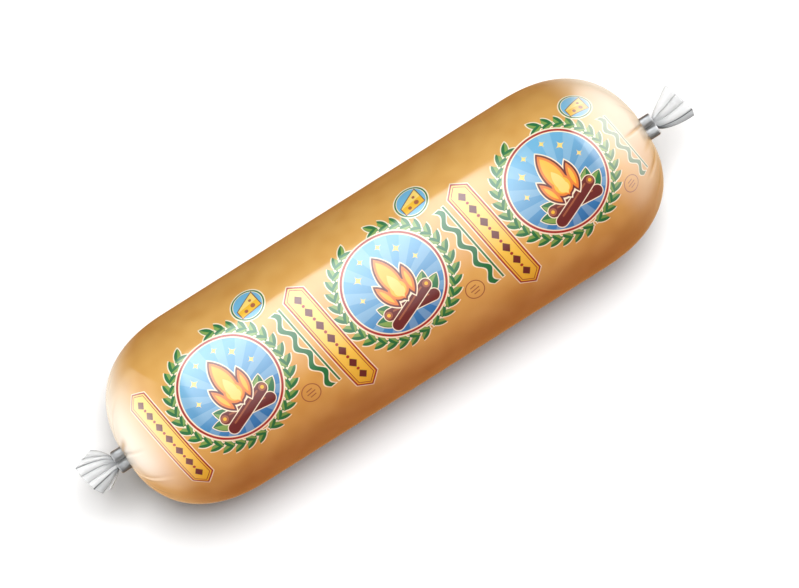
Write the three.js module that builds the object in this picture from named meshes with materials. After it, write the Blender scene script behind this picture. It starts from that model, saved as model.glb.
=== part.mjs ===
// A roll of smoked processed cheese in a tight printed film casing.
// Both ends of the casing are gathered into folds, held by a crimped wire clip, and fan out beyond it.
// Millimetres, +Z up. The roll lies along X on a small flat of its underside, with its front face up.
import * as THREE from "three";
import { mergeVertices } from "three/addons/utils/BufferGeometryUtils.js";

// Roll
const ROLL_DIAMETER = 75;
const ROLL_LENGTH = 233;
const STRAIGHT_LENGTH = 150;
// Exponent of the superellipse that rounds the ends: 2 would be an ellipse, more is fuller.
const END_FULLNESS = 2.4;
// Half the angle that the flat on the underside takes up, seen from the axis.
const FLAT_HALF_ANGLE = THREE.MathUtils.degToRad(11.25);
const ROLL_SIDES = 96;
const END_RINGS = 13;
const STRAIGHT_RINGS = 4;

// Pucker round each clip: a raised lip, a sunken floor inside it, and folds that run out over the end
const LIP_RADIUS = 8.4;
const FLOOR_RADIUS = 6.2;
const FLOOR_DEPTH = 1.1;
const LIP_RINGS = 3;
const FOLD_COUNT = 13;
const FOLD_DEPTH = 1.9;
const FOLD_REACH = 27;
const FOLD_REACH_VARIATION = 6;
// Below 1 the valleys are sharper than the bulges between them.
const FOLD_SHARPNESS = 0.7;
const FOLD_UNEVENNESS = 0.12;
const FOLD_DEPTH_VARIATION = 0.3;
// How far the gathered ends sit to the -Y side of the roll's axis.
const GATHER_OFFSET = 1.1;

// Clip: a wire bent round the gathered film, with its two legs curled in until they meet on top
const CLIP_WIDTH = 9.4;
const CLIP_LENGTH = 5.5;
const CLIP_LEG_HEIGHT = 2.4;
const CLIP_SEAM = 0.34;
const CLIP_ROUNDING = 0.3;
const CLIP_ARC_STEPS = 7;

// Tail: the gathered film that passes through the clip and fans out into flat pleats
const ROPE_RADIUS = 2;
const TAIL_REACH = 136.4;
const TAIL_HALF_WIDTH = 7.2;
const TAIL_FLATNESS = 0.4;
const TAIL_WALL = 0.6;
const TAIL_PLEATS = 8;
const TAIL_PLEAT_DEPTH = 0.2;
const TAIL_STEP = 1.3;
const TAIL_ROUNDING = 2.6;
const TAIL_SIDES = 32;
const TAIL_RINGS = 6;
// Below 1 the fan spreads most just past the clip.
const TAIL_FLARE = 0.8;
// Ring of the fan where the hollow between its front and back begins.
const TAIL_HOLLOW_FROM = 2;

// Gap that touching pieces keep
const GAP = 0.3;

const rollRadius = ROLL_DIAMETER / 2;
const axisHeight = rollRadius * Math.cos(FLAT_HALF_ANGLE);
const straightEnd = STRAIGHT_LENGTH / 2;
const lipX = ROLL_LENGTH / 2;
const floorX = lipX - FLOOR_DEPTH;
const clipInnerX = floorX + GAP;
const clipOuterX = clipInnerX + CLIP_LENGTH;
const fanStartX = clipOuterX + GAP;

// The two ends differ in how their folds are turned and in how their tails lean.
const ENDS = [
  { side: "right", turn: 0, lean: THREE.MathUtils.degToRad(8) },
  { side: "left", turn: 2.1, lean: THREE.MathUtils.degToRad(-3) },
];
const [RIGHT, LEFT] = ENDS;

const smooth = THREE.MathUtils.smoothstep;
const lerp = THREE.MathUtils.lerp;

const film = new THREE.MeshStandardMaterial({ color: "#dca45c", roughness: 0.3, metalness: 0 });
const clearFilm = new THREE.MeshStandardMaterial({ color: "#e9ebec", roughness: 0.25, metalness: 0 });
const wire = new THREE.MeshStandardMaterial({ color: "#b9bbbd", roughness: 0.35, metalness: 1 });

// Joins shared corners, drops triangles that collapse at a pole, and gives the mesh its normals.
function closeMesh(geometry) {
  geometry.deleteAttribute("normal");
  geometry.deleteAttribute("uv");
  const merged = mergeVertices(geometry, 1e-4);
  const corners = merged.index.array;
  const kept = [];
  for (let i = 0; i < corners.length; i += 3) {
    const [a, b, c] = corners.slice(i, i + 3);
    if (a !== b && b !== c && c !== a) kept.push(a, b, c);
  }
  merged.setIndex(kept);
  merged.computeVertexNormals();
  return merged;
}

// Turns a profile of (radius, distance along X) into a solid round X, and moves each corner by a rule.
// Angle 0 is the top of the roll, and the angle grows towards -Y.
function turnedAboutX(profile, sides, place) {
  const geometry = new THREE.LatheGeometry(profile, sides).rotateZ(-Math.PI / 2);
  const corner = new THREE.Vector3();
  const positions = geometry.attributes.position;
  for (let i = 0; i < positions.count; i += 1) {
    corner.fromBufferAttribute(positions, i);
    const radius = Math.hypot(corner.y, corner.z);
    const angle = Math.atan2(-corner.y, corner.z);
    place(corner, radius, angle);
    positions.setXYZ(i, corner.x, corner.y, corner.z);
  }
  return closeMesh(geometry);
}

// Radius of a rounded end as a share of the roll's, at a share of the end's full depth. It is its own inverse.
function endRound(share) {
  return (1 - share ** END_FULLNESS) ** (1 / END_FULLNESS);
}

// Profile of the +X end: the rounded end up to the lip, the step down to the floor, and the axis.
function endProfile() {
  const lipShare = endRound(LIP_RADIUS / rollRadius);
  const fullDepth = (lipX - straightEnd) / lipShare;
  const lipParameter = Math.asin(lipShare ** (END_FULLNESS / 2));
  const points = [];
  for (let i = 0; i <= END_RINGS; i += 1) {
    const share = Math.sin((lipParameter * i) / END_RINGS) ** (2 / END_FULLNESS);
    points.push(new THREE.Vector2(rollRadius * endRound(share), straightEnd + fullDepth * share));
  }
  for (let i = 1; i <= LIP_RINGS; i += 1) {
    const share = i / LIP_RINGS;
    const drop = (FLOOR_DEPTH * (1 - Math.cos(Math.PI * share))) / 2;
    points.push(new THREE.Vector2(lerp(LIP_RADIUS, FLOOR_RADIUS, share), lipX - drop));
  }
  points.push(new THREE.Vector2(0, floorX));
  return points;
}

// How far a fold sinks the film at a place on a rounded end: sharp valleys between round bulges.
function foldDepth(radius, angle, turn) {
  const reach = FOLD_REACH + FOLD_REACH_VARIATION * Math.sin(2 * angle + turn);
  const fade = (1 - smooth(radius, LIP_RADIUS, reach)) * smooth(radius, FLOOR_RADIUS, LIP_RADIUS);
  const uneven = angle + FOLD_UNEVENNESS * (Math.sin(2 * angle + turn) + Math.sin(5 * angle - turn) / 2);
  const valley = 1 - Math.abs(Math.sin((FOLD_COUNT / 2) * uneven)) ** FOLD_SHARPNESS;
  const strength = 1 - FOLD_DEPTH_VARIATION * (1 - Math.cos(3 * angle - turn));
  return FOLD_DEPTH * fade * valley * strength;
}

function makeRoll() {
  const end = endProfile();
  const straight = [];
  for (let i = 1; i < STRAIGHT_RINGS; i += 1) {
    straight.push(new THREE.Vector2(rollRadius, lerp(-straightEnd, straightEnd, i / STRAIGHT_RINGS)));
  }
  const mirrored = end.map((point) => new THREE.Vector2(point.x, -point.y)).reverse();
  const middle = new THREE.Vector3();
  const geometry = turnedAboutX([...mirrored, ...straight, ...end], ROLL_SIDES, (corner, radius, angle) => {
    if (Math.abs(corner.x) > straightEnd) {
      const { turn } = corner.x > 0 ? RIGHT : LEFT;
      middle.set(Math.sign(corner.x) * straightEnd, 0, 0);
      const distance = corner.distanceTo(middle);
      corner.lerp(middle, foldDepth(radius, angle, turn) / distance);
      corner.y -= GATHER_OFFSET * (1 - smooth(radius, LIP_RADIUS, rollRadius));
    }
    corner.z = Math.max(corner.z, -axisHeight);
  });
  const roll = new THREE.Mesh(geometry, film);
  roll.name = "cheese_roll";
  return roll;
}

// Outline of the clip across the roll's axis: x is across and y is up, round the axis of the film rope.
function clipOutline() {
  const lobe = CLIP_WIDTH / 4;
  const half = CLIP_WIDTH / 2;
  const hole = ROPE_RADIUS + GAP;
  const lobeSeamAngle = Math.acos((lobe - CLIP_SEAM / 2) / lobe);
  const holeSeamAngle = Math.acos(CLIP_SEAM / 2 / hole);
  const outline = new THREE.Shape();
  outline.absarc(lobe, CLIP_LEG_HEIGHT, lobe, Math.PI - lobeSeamAngle, 0, true);
  outline.absarc(0, 0, half, 0, -Math.PI, true);
  outline.absarc(-lobe, CLIP_LEG_HEIGHT, lobe, Math.PI, lobeSeamAngle, true);
  outline.absarc(0, 0, hole, Math.PI - holeSeamAngle, 2 * Math.PI + holeSeamAngle, false);
  outline.closePath();
  return outline;
}

function makeClip(side) {
  const geometry = new THREE.ExtrudeGeometry(clipOutline(), {
    depth: CLIP_LENGTH - 2 * CLIP_ROUNDING,
    bevelThickness: CLIP_ROUNDING,
    bevelSize: CLIP_ROUNDING,
    bevelOffset: -CLIP_ROUNDING,
    bevelSegments: 2,
    curveSegments: CLIP_ARC_STEPS,
  });
  const across = new THREE.Vector3(0, 1, 0);
  const up = new THREE.Vector3(0, 0, 1);
  const along = new THREE.Vector3(1, 0, 0);
  geometry.applyMatrix4(new THREE.Matrix4().makeBasis(across, up, along));
  const clip = new THREE.Mesh(closeMesh(geometry), wire);
  clip.name = `clip_${side}`;
  clip.position.x = clipInnerX + CLIP_ROUNDING;
  return clip;
}

// Profile of a tail: the rope through the clip, the flaring fan, its rim, and the hollow inside the fan.
function tailProfile() {
  const outer = [];
  const inner = [];
  for (let i = 1; i <= TAIL_RINGS; i += 1) {
    const share = i / TAIL_RINGS;
    const radius = lerp(ROPE_RADIUS, TAIL_HALF_WIDTH, share ** TAIL_FLARE);
    const x = lerp(fanStartX, TAIL_REACH, share);
    outer.push(new THREE.Vector2(radius, x));
    if (i > TAIL_HOLLOW_FROM) inner.unshift(new THREE.Vector2(radius - TAIL_WALL, x));
  }
  const rope = [
    new THREE.Vector2(0, clipInnerX),
    new THREE.Vector2(ROPE_RADIUS, clipInnerX),
    new THREE.Vector2(ROPE_RADIUS, fanStartX),
  ];
  const hollowEnd = new THREE.Vector2(0, outer[TAIL_HOLLOW_FROM - 1].y);
  return [...rope, ...outer, ...inner, hollowEnd];
}

function makeTail({ side, turn, lean }) {
  const geometry = turnedAboutX(tailProfile(), TAIL_SIDES, (corner, radius, angle) => {
    const share = Math.max(0, (corner.x - fanStartX) / (TAIL_REACH - fanStartX));
    const spread = smooth(share, 0, 1);
    const zigzag = (2 / Math.PI) * Math.asin(Math.sin(TAIL_PLEATS * angle));
    const pleated = radius * (1 + TAIL_PLEAT_DEPTH * spread * zigzag);
    const flattened = lerp(1, TAIL_FLATNESS, spread);
    const shorter = TAIL_ROUNDING * Math.sin(angle) ** 2 + TAIL_STEP * Math.sin(2.5 * angle + turn) ** 2;
    corner.y = -pleated * Math.sin(angle) + share ** 2 * (TAIL_REACH - fanStartX) * Math.tan(lean);
    corner.z = pleated * Math.cos(angle) * flattened;
    corner.x -= share ** 2 * shorter;
  });
  const tail = new THREE.Mesh(geometry, clearFilm);
  tail.name = `film_tail_${side}`;
  return tail;
}

// One gathered end, built at +X and turned round for -X.
function makeEnd(end) {
  const group = new THREE.Group();
  group.add(makeClip(end.side), makeTail(end));
  group.position.y = -GATHER_OFFSET;
  if (end === LEFT) group.rotation.z = Math.PI;
  return group;
}

const cheese = new THREE.Group();
cheese.position.z = axisHeight;
cheese.add(makeRoll(), ...ENDS.map(makeEnd));

export default cheese;
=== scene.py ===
"""A roll of smoked processed cheese: printed film, gathered ends, wire clips and fans of clear film.

Sizes are millimetres in the roll's own frame, and meshes are written in metres.
"""

import logging
import math
from dataclasses import dataclass
from enum import Enum
from typing import Union

import bmesh
import bpy
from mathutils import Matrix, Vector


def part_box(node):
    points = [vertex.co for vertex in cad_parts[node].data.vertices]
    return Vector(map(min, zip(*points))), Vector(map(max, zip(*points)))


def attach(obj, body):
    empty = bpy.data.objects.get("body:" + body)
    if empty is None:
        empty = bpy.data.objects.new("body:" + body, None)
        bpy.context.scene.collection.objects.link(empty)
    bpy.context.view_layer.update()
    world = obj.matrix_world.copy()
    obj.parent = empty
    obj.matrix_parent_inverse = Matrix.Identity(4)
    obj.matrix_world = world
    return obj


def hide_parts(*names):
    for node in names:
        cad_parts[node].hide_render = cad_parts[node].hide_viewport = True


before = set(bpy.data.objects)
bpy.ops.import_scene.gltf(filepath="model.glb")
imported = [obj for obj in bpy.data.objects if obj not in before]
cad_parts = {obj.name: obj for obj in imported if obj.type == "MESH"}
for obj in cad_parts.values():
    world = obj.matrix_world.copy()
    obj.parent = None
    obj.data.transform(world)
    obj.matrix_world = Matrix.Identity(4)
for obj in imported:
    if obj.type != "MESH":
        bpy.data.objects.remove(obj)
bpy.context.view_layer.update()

MM = 0.001
BODY = "root"
FILM_MAP = "film_map"
BAKE_MAP = "OFBake"
# Mask of painted shade along the roll's folds and over the clear film's pleats
CREASE_SHADE_MASK = "crease_shade"
TURN = 2 * math.pi
# Keeps a quotient from dividing by nothing
TINY = 1e-4
# A Mix node's inputs for the share and both colours, and its output for the mixed colour
MIX_INPUTS = (0, 6, 7)
MIX_OUTPUT = 2
LOG = logging.getLogger("cheese_roll")


def linear(rgb: tuple[int, int, int], alpha: float = 1.0) -> tuple[float, float, float, float]:
    """Turns an sRGB colour into the linear colour that a shader takes.

    Args:
        rgb: Red, green and blue, 0 to 255.
        alpha: Fourth number of the result.

    Returns:
        Linear red, green, blue and alpha.
    """
    parts = [byte / 255 for byte in rgb]
    flat = [part / 12.92 if part <= 0.04045 else ((part + 0.055) / 1.055) ** 2.4 for part in parts]
    return (flat[0], flat[1], flat[2], alpha)


def feed(tree: bpy.types.NodeTree, value: object, slot: bpy.types.NodeSocket) -> None:
    """Links a field or a socket to an input socket, or sets the input to a plain value.

    Args:
        tree: Tree that both belong to.
        value: A field, an output socket or a plain value.
        slot: The input socket.
    """
    if isinstance(value, Field):
        tree.links.new(value.socket, slot)
    elif isinstance(value, bpy.types.NodeSocket):
        tree.links.new(value, slot)
    else:
        slot.default_value = value


class Field:
    """A number that changes over a surface, worked out by Math nodes of one tree."""

    def __init__(self, tree: bpy.types.NodeTree, socket: bpy.types.NodeSocket) -> None:
        """Wraps an output socket of a node in the tree."""
        self.tree = tree
        self.socket = socket

    def math(self, operation: str, *others: "Number", clamp: bool = False) -> "Field":
        """Adds a Math node whose first input is this field.

        Args:
            operation: Name of the Math node's operation.
            others: The operation's other inputs.
            clamp: Whether the result stays within 0 and 1.

        Returns:
            The node's result.
        """
        node = self.tree.nodes.new("ShaderNodeMath")
        node.operation = operation
        node.use_clamp = clamp
        for slot, value in zip(node.inputs, (self, *others)):
            feed(self.tree, value, slot)
        return Field(self.tree, node.outputs[0])

    def __add__(self, other: "Number") -> "Field":
        """Sum."""
        return self.math("ADD", other)

    def __sub__(self, other: "Number") -> "Field":
        """Difference."""
        return self.math("SUBTRACT", other)

    def __rsub__(self, other: "Number") -> "Field":
        """Difference from a plain number."""
        return self.math("MULTIPLY_ADD", -1.0, other)

    def __mul__(self, other: "Number") -> "Field":
        """Product."""
        return self.math("MULTIPLY", other)

    def __truediv__(self, other: "Number") -> "Field":
        """Quotient."""
        return self.math("DIVIDE", other)

    def __pow__(self, other: "Number") -> "Field":
        """Power."""
        return self.math("POWER", other)

    def __abs__(self) -> "Field":
        """Size without its sign."""
        return self.math("ABSOLUTE")

    def sin(self) -> "Field":
        """Sine of this angle."""
        return self.math("SINE")

    def cos(self) -> "Field":
        """Cosine of this angle."""
        return self.math("COSINE")

    def least(self, other: "Number") -> "Field":
        """Smaller of the two."""
        return self.math("MINIMUM", other)

    def most(self, other: "Number") -> "Field":
        """Larger of the two."""
        return self.math("MAXIMUM", other)

    def wrapped(self, period: float) -> "Field":
        """Distance to the nearest multiple of the period, with its sign."""
        return self.math("WRAP", period / 2, -period / 2)

    def unit(self) -> "Field":
        """This number held within 0 and 1."""
        return self.math("ADD", 0.0, clamp=True)

    def ramp(self, low: float, high: float) -> "Field":
        """Rises evenly from 0 at one value to 1 at another.

        Args:
            low: Value up to which the result is 0.
            high: Value from which the result is 1.

        Returns:
            The even ramp.
        """
        return self.math("MULTIPLY_ADD", 1 / (high - low), low / (low - high), clamp=True)

    def smooth(self, low: "Number", high: "Number") -> "Field":
        """Rises smoothly from 0 at one value to 1 at another.

        Args:
            low: Value up to which the result is 0.
            high: Value from which the result is 1.

        Returns:
            The smooth step.
        """
        node = self.tree.nodes.new("ShaderNodeMapRange")
        node.interpolation_type = "SMOOTHSTEP"
        for slot, value in zip(node.inputs, (self, low, high)):
            feed(self.tree, value, slot)
        return Field(self.tree, node.outputs[0])


Number = Union[Field, float]
Colour = Union[bpy.types.NodeSocket, tuple[float, float, float, float]]


def mixed(amount: Field, start: Colour, end: Colour) -> bpy.types.NodeSocket:
    """Mixes two colours of a shader tree.

    Args:
        amount: 0 for the first colour, 1 for the second.
        start: First colour, or its socket.
        end: Second colour, or its socket.

    Returns:
        Socket of the mixed colour.
    """
    mix = amount.tree.nodes.new("ShaderNodeMix")
    mix.data_type = "RGBA"
    for index, value in zip(MIX_INPUTS, (amount, start, end)):
        feed(amount.tree, value, mix.inputs[index])
    return mix.outputs[MIX_OUTPUT]


def hypot(across: Field, along: Field) -> Field:
    """Length of the diagonal of two fields."""
    return (across * across + along * along).math("SQRT")


class ShapeRule:
    """A Geometry Nodes tree with named number inputs, which is run into a plain mesh."""

    def __init__(self, name: str, inputs: list[str]) -> None:
        """Makes the tree and its sockets.

        Args:
            name: Name of the tree.
            inputs: Names of its number inputs.
        """
        self.tree = bpy.data.node_groups.new(name, "GeometryNodeTree")
        sockets = self.tree.interface
        sockets.new_socket("Geometry", in_out="OUTPUT", socket_type="NodeSocketGeometry")
        for label in inputs:
            sockets.new_socket(label, in_out="INPUT", socket_type="NodeSocketFloat")
        sockets.new_socket("Material", in_out="INPUT", socket_type="NodeSocketMaterial")
        self.source = self.tree.nodes.new("NodeGroupInput")
        self.geometry: bpy.types.NodeSocket | None = None

    def node(self, kind: str, **settings: object) -> bpy.types.Node:
        """Adds a node and sets its properties.

        Args:
            kind: Node type.
            settings: Properties of the node.

        Returns:
            The node.
        """
        made = self.tree.nodes.new(kind)
        for key, value in settings.items():
            setattr(made, key, value)
        return made

    def size(self, label: str) -> Field:
        """A named input as a field."""
        return Field(self.tree, self.source.outputs[label])

    def step(self, kind: str, values: dict[str, object], **settings: object) -> bpy.types.Node:
        """Adds a node that the geometry passes through.

        Args:
            kind: Node type.
            values: Input names, each with a field, a socket or a plain value.
            settings: Properties of the node.

        Returns:
            The node.
        """
        made = self.node(kind, **settings)
        if self.geometry is not None:
            self.tree.links.new(self.geometry, made.inputs[0])
        for label, value in values.items():
            feed(self.tree, value, made.inputs[label])
        self.geometry = made.outputs[0]
        return made

    def sheet(self, along: int, around: int) -> tuple[Field, Field]:
        """Starts from a flat grid whose two sides run from 0 to 1.

        Args:
            along: Corners along the first side.
            around: Corners along the second side.

        Returns:
            The two places on the grid.
        """
        counts = {"Vertices X": along, "Vertices Y": around, "Size X": 1.0, "Size Y": 1.0}
        self.step("GeometryNodeMeshGrid", counts)
        split = self.node("ShaderNodeSeparateXYZ")
        place = self.node("GeometryNodeInputPosition")
        self.tree.links.new(place.outputs[0], split.inputs[0])
        return Field(self.tree, split.outputs[0]) + 0.5, Field(self.tree, split.outputs[1]) + 0.5

    def vector(self, x: Number, y: Number, z: Number = 0.0) -> bpy.types.NodeSocket:
        """Joins three numbers into a vector.

        Args:
            x: First number.
            y: Second number.
            z: Third number.

        Returns:
            Socket of the vector.
        """
        node = self.node("ShaderNodeCombineXYZ")
        for slot, value in zip(node.inputs, (x, y, z)):
            feed(self.tree, value, slot)
        return node.outputs[0]

    def corner_map(self, name: str, across: Number, along: Number) -> None:
        """Stores a UV map on the mesh's corners.

        Args:
            name: Name of the map.
            across: First number of the map.
            along: Second number of the map.
        """
        settings = {"data_type": "FLOAT2", "domain": "CORNER"}
        values = {"Name": name, "Value": self.vector(across, along)}
        self.step("GeometryNodeStoreNamedAttribute", values, **settings)

    def point_mask(self, name: str, value: Field) -> None:
        """Stores a number on the mesh's points."""
        settings = {"data_type": "FLOAT", "domain": "POINT"}
        self.step("GeometryNodeStoreNamedAttribute", {"Name": name, "Value": value}, **settings)

    def gather(self, part: "ShapeRule", copies: list[dict[str, float]]) -> None:
        """Joins copies of another tree's geometry, each with sizes of its own.

        Inputs of the other tree that aren't among a copy's sizes come from this tree's inputs.

        Args:
            part: The other tree.
            copies: Sizes of each copy.
        """
        join = self.node("GeometryNodeJoinGeometry")
        for sizes in copies:
            copy = self.node("GeometryNodeGroup", node_tree=part.tree)
            for slot in copy.inputs:
                if slot.name in sizes:
                    slot.default_value = sizes[slot.name]
                else:
                    self.tree.links.new(self.source.outputs[slot.name], slot)
            self.tree.links.new(copy.outputs[0], join.inputs[0])
        self.geometry = join.outputs[0]

    def close(self) -> None:
        """Ends the tree in plain mesh with its material.

        Copies become mesh of their own first, so that the piece keeps them when the tree is gone.
        """
        self.step("GeometryNodeRealizeInstances", {})
        self.step("GeometryNodeSetMaterial", {"Material": self.source.outputs["Material"]})
        out = self.node("NodeGroupOutput")
        self.tree.links.new(self.geometry, out.inputs[0])

    def run(self, name: str, sizes: dict[str, float], material: bpy.types.Material) -> bpy.types.Object:
        """Runs the tree once into a new object with a plain mesh.

        Args:
            name: Name of the piece.
            sizes: Value of each number input.
            material: Finish of the mesh.

        Returns:
            The finished object.
        """
        piece = bpy.data.objects.new(name, bpy.data.meshes.new(name))
        bpy.context.scene.collection.objects.link(piece)
        modifier = piece.modifiers.new("shape", "NODES")
        modifier.node_group = self.tree
        for item in self.tree.interface.items_tree:
            if item.item_type == "SOCKET" and item.in_out == "INPUT":
                value = material if item.name == "Material" else float(sizes[item.name])
                modifier[item.identifier] = value
        evaluated = piece.evaluated_get(bpy.context.evaluated_depsgraph_get())
        mesh = bpy.data.meshes.new_from_object(evaluated)
        piece.modifiers.remove(modifier)
        piece.data = mesh
        mesh.name = name
        return piece


class Ink(Enum):
    """Inks of the print, as sRGB bytes."""

    CREAM = (252, 242, 214)
    SKY = (112, 188, 226)
    PALE_SKY = (176, 218, 236)
    DEEP_BLUE = (38, 118, 184)
    LEAF = (34, 118, 62)
    YOUNG_LEAF = (132, 170, 82)
    EMBER = (110, 40, 36)
    BARK = (168, 96, 62)
    RED = (172, 46, 36)
    GOLD = (246, 196, 48)
    PALE_GOLD = (252, 224, 120)
    FLAME = (238, 134, 42)


class Spot:
    """A place on the flat print, as a vector socket in millimetres: x along the roll, y down its front."""

    def __init__(self, tree: bpy.types.NodeTree, socket: bpy.types.NodeSocket) -> None:
        """Wraps a vector socket and splits it once.

        Args:
            tree: Tree that the socket belongs to.
            socket: The vector.
        """
        self.tree = tree
        self.socket = socket
        split = tree.nodes.new("ShaderNodeSeparateXYZ")
        tree.links.new(socket, split.inputs[0])
        self.x = Field(tree, split.outputs[0])
        self.y = Field(tree, split.outputs[1])
        self.z = Field(tree, split.outputs[2])

    @classmethod
    def joined(cls, x: Field, y: Field) -> "Spot":
        """Makes a place from its two numbers.

        Args:
            x: Place along the roll.
            y: Place down its front.

        Returns:
            The place.
        """
        node = x.tree.nodes.new("ShaderNodeCombineXYZ")
        x.tree.links.new(x.socket, node.inputs[0])
        x.tree.links.new(y.socket, node.inputs[1])
        return cls(x.tree, node.outputs[0])

    def seen_from(self, centre: tuple[float, float], degrees: float = 0.0) -> "Spot":
        """The same place, measured from a shape's own centre and along its own axis.

        Args:
            centre: Centre of the shape.
            degrees: Turn of the shape's axis from x towards y.

        Returns:
            The place in the shape's frame.
        """
        node = self.tree.nodes.new("ShaderNodeMapping")
        node.vector_type = "TEXTURE"
        self.tree.links.new(self.socket, node.inputs["Vector"])
        node.inputs["Location"].default_value = (*centre, 0.0)
        node.inputs["Rotation"].default_value = (0.0, 0.0, math.radians(degrees))
        return Spot(self.tree, node.outputs[0])

    def turned(self, angle: Field) -> "Spot":
        """The same place, turned about the centre by an angle that changes over the print.

        Args:
            angle: The turn in radians.

        Returns:
            The turned place.
        """
        node = self.tree.nodes.new("ShaderNodeVectorRotate")
        node.rotation_type = "Z_AXIS"
        self.tree.links.new(self.socket, node.inputs["Vector"])
        self.tree.links.new(angle.socket, node.inputs["Angle"])
        return Spot(self.tree, node.outputs[0])

    def distance(self, centre: tuple[float, float] = (0.0, 0.0)) -> Field:
        """Distance from a point of the print.

        Args:
            centre: The point.

        Returns:
            The distance.
        """
        node = self.tree.nodes.new("ShaderNodeVectorMath")
        node.operation = "DISTANCE"
        self.tree.links.new(self.socket, node.inputs[0])
        node.inputs[1].default_value = (*centre, 0.0)
        return Field(self.tree, node.outputs["Value"])

    def disc(self, centre: tuple[float, float], radius: float) -> Field:
        """Distance outside a round disc, below 0 inside it."""
        return self.distance(centre) - radius

    def bar(self, half_x: float, half_y: float) -> Field:
        """Distance outside a bar that is centred here."""
        return (abs(self.x) - half_x).most(abs(self.y) - half_y)

    def rod(self, half_length: float, radius: float) -> Field:
        """Distance outside a bar with round ends that lies along x."""
        beyond = (abs(self.x) - half_length).most(0.0)
        return hypot(beyond, self.y) - radius

    def leaf(self, half_length: float, half_width: float) -> Field:
        """Distance outside a leaf with two points, which lies along x.

        Args:
            half_length: From the middle to a point.
            half_width: From the middle to a side.

        Returns:
            The distance, below 0 inside.
        """
        bend = (half_length**2 + half_width**2) / (2 * half_width)
        return hypot(abs(self.y) + (bend - half_width), self.x) - bend


class PrintSheet:
    """The print while it is laid on the film, one ink after another."""

    SOFT_EDGE = 0.06

    def __init__(self, film: bpy.types.NodeSocket) -> None:
        """Starts with bare film."""
        self.colour = film

    def mask(self, outside: Field) -> Field:
        """Turns a distance into a mask with a narrow soft edge."""
        return outside.math("MULTIPLY_ADD", -0.5 / self.SOFT_EDGE, 0.5, clamp=True)

    def lay(self, mask: Field, colour: Ink | bpy.types.NodeSocket) -> None:
        """Lays an ink, or a blend of inks, where the mask is 1.

        Args:
            mask: Where the ink goes.
            colour: An ink, or the socket of a colour.
        """
        laid = linear(colour.value) if isinstance(colour, Ink) else colour
        self.colour = mixed(mask, self.colour, laid)

    def shape(self, outside: Field, ink: Ink) -> None:
        """Prints a shape in one ink."""
        self.lay(self.mask(outside), ink)

    def blend(self, amount: Field, start: Ink, end: Ink) -> bpy.types.NodeSocket:
        """Makes a colour that runs from one ink to another."""
        return mixed(amount, linear(start.value), linear(end.value))


@dataclass(frozen=True)
class LeafMark:
    """A pointed shape of the print: centre, turn of its long axis in degrees and half sizes."""

    centre: tuple[float, float]
    turn: float
    half_length: float
    half_width: float

    def outside(self, spot: Spot) -> tuple[Spot, Field]:
        """Place in the shape's own frame, and the distance outside the shape."""
        place = spot.seen_from(self.centre, self.turn)
        return place, place.leaf(self.half_length, self.half_width)


@dataclass(frozen=True)
class DiscMark:
    """A round shape of the print: centre and radius."""

    centre: tuple[float, float]
    radius: float

    def outside(self, spot: Spot) -> Field:
        """Distance outside the disc."""
        return spot.disc(self.centre, self.radius)


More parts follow.
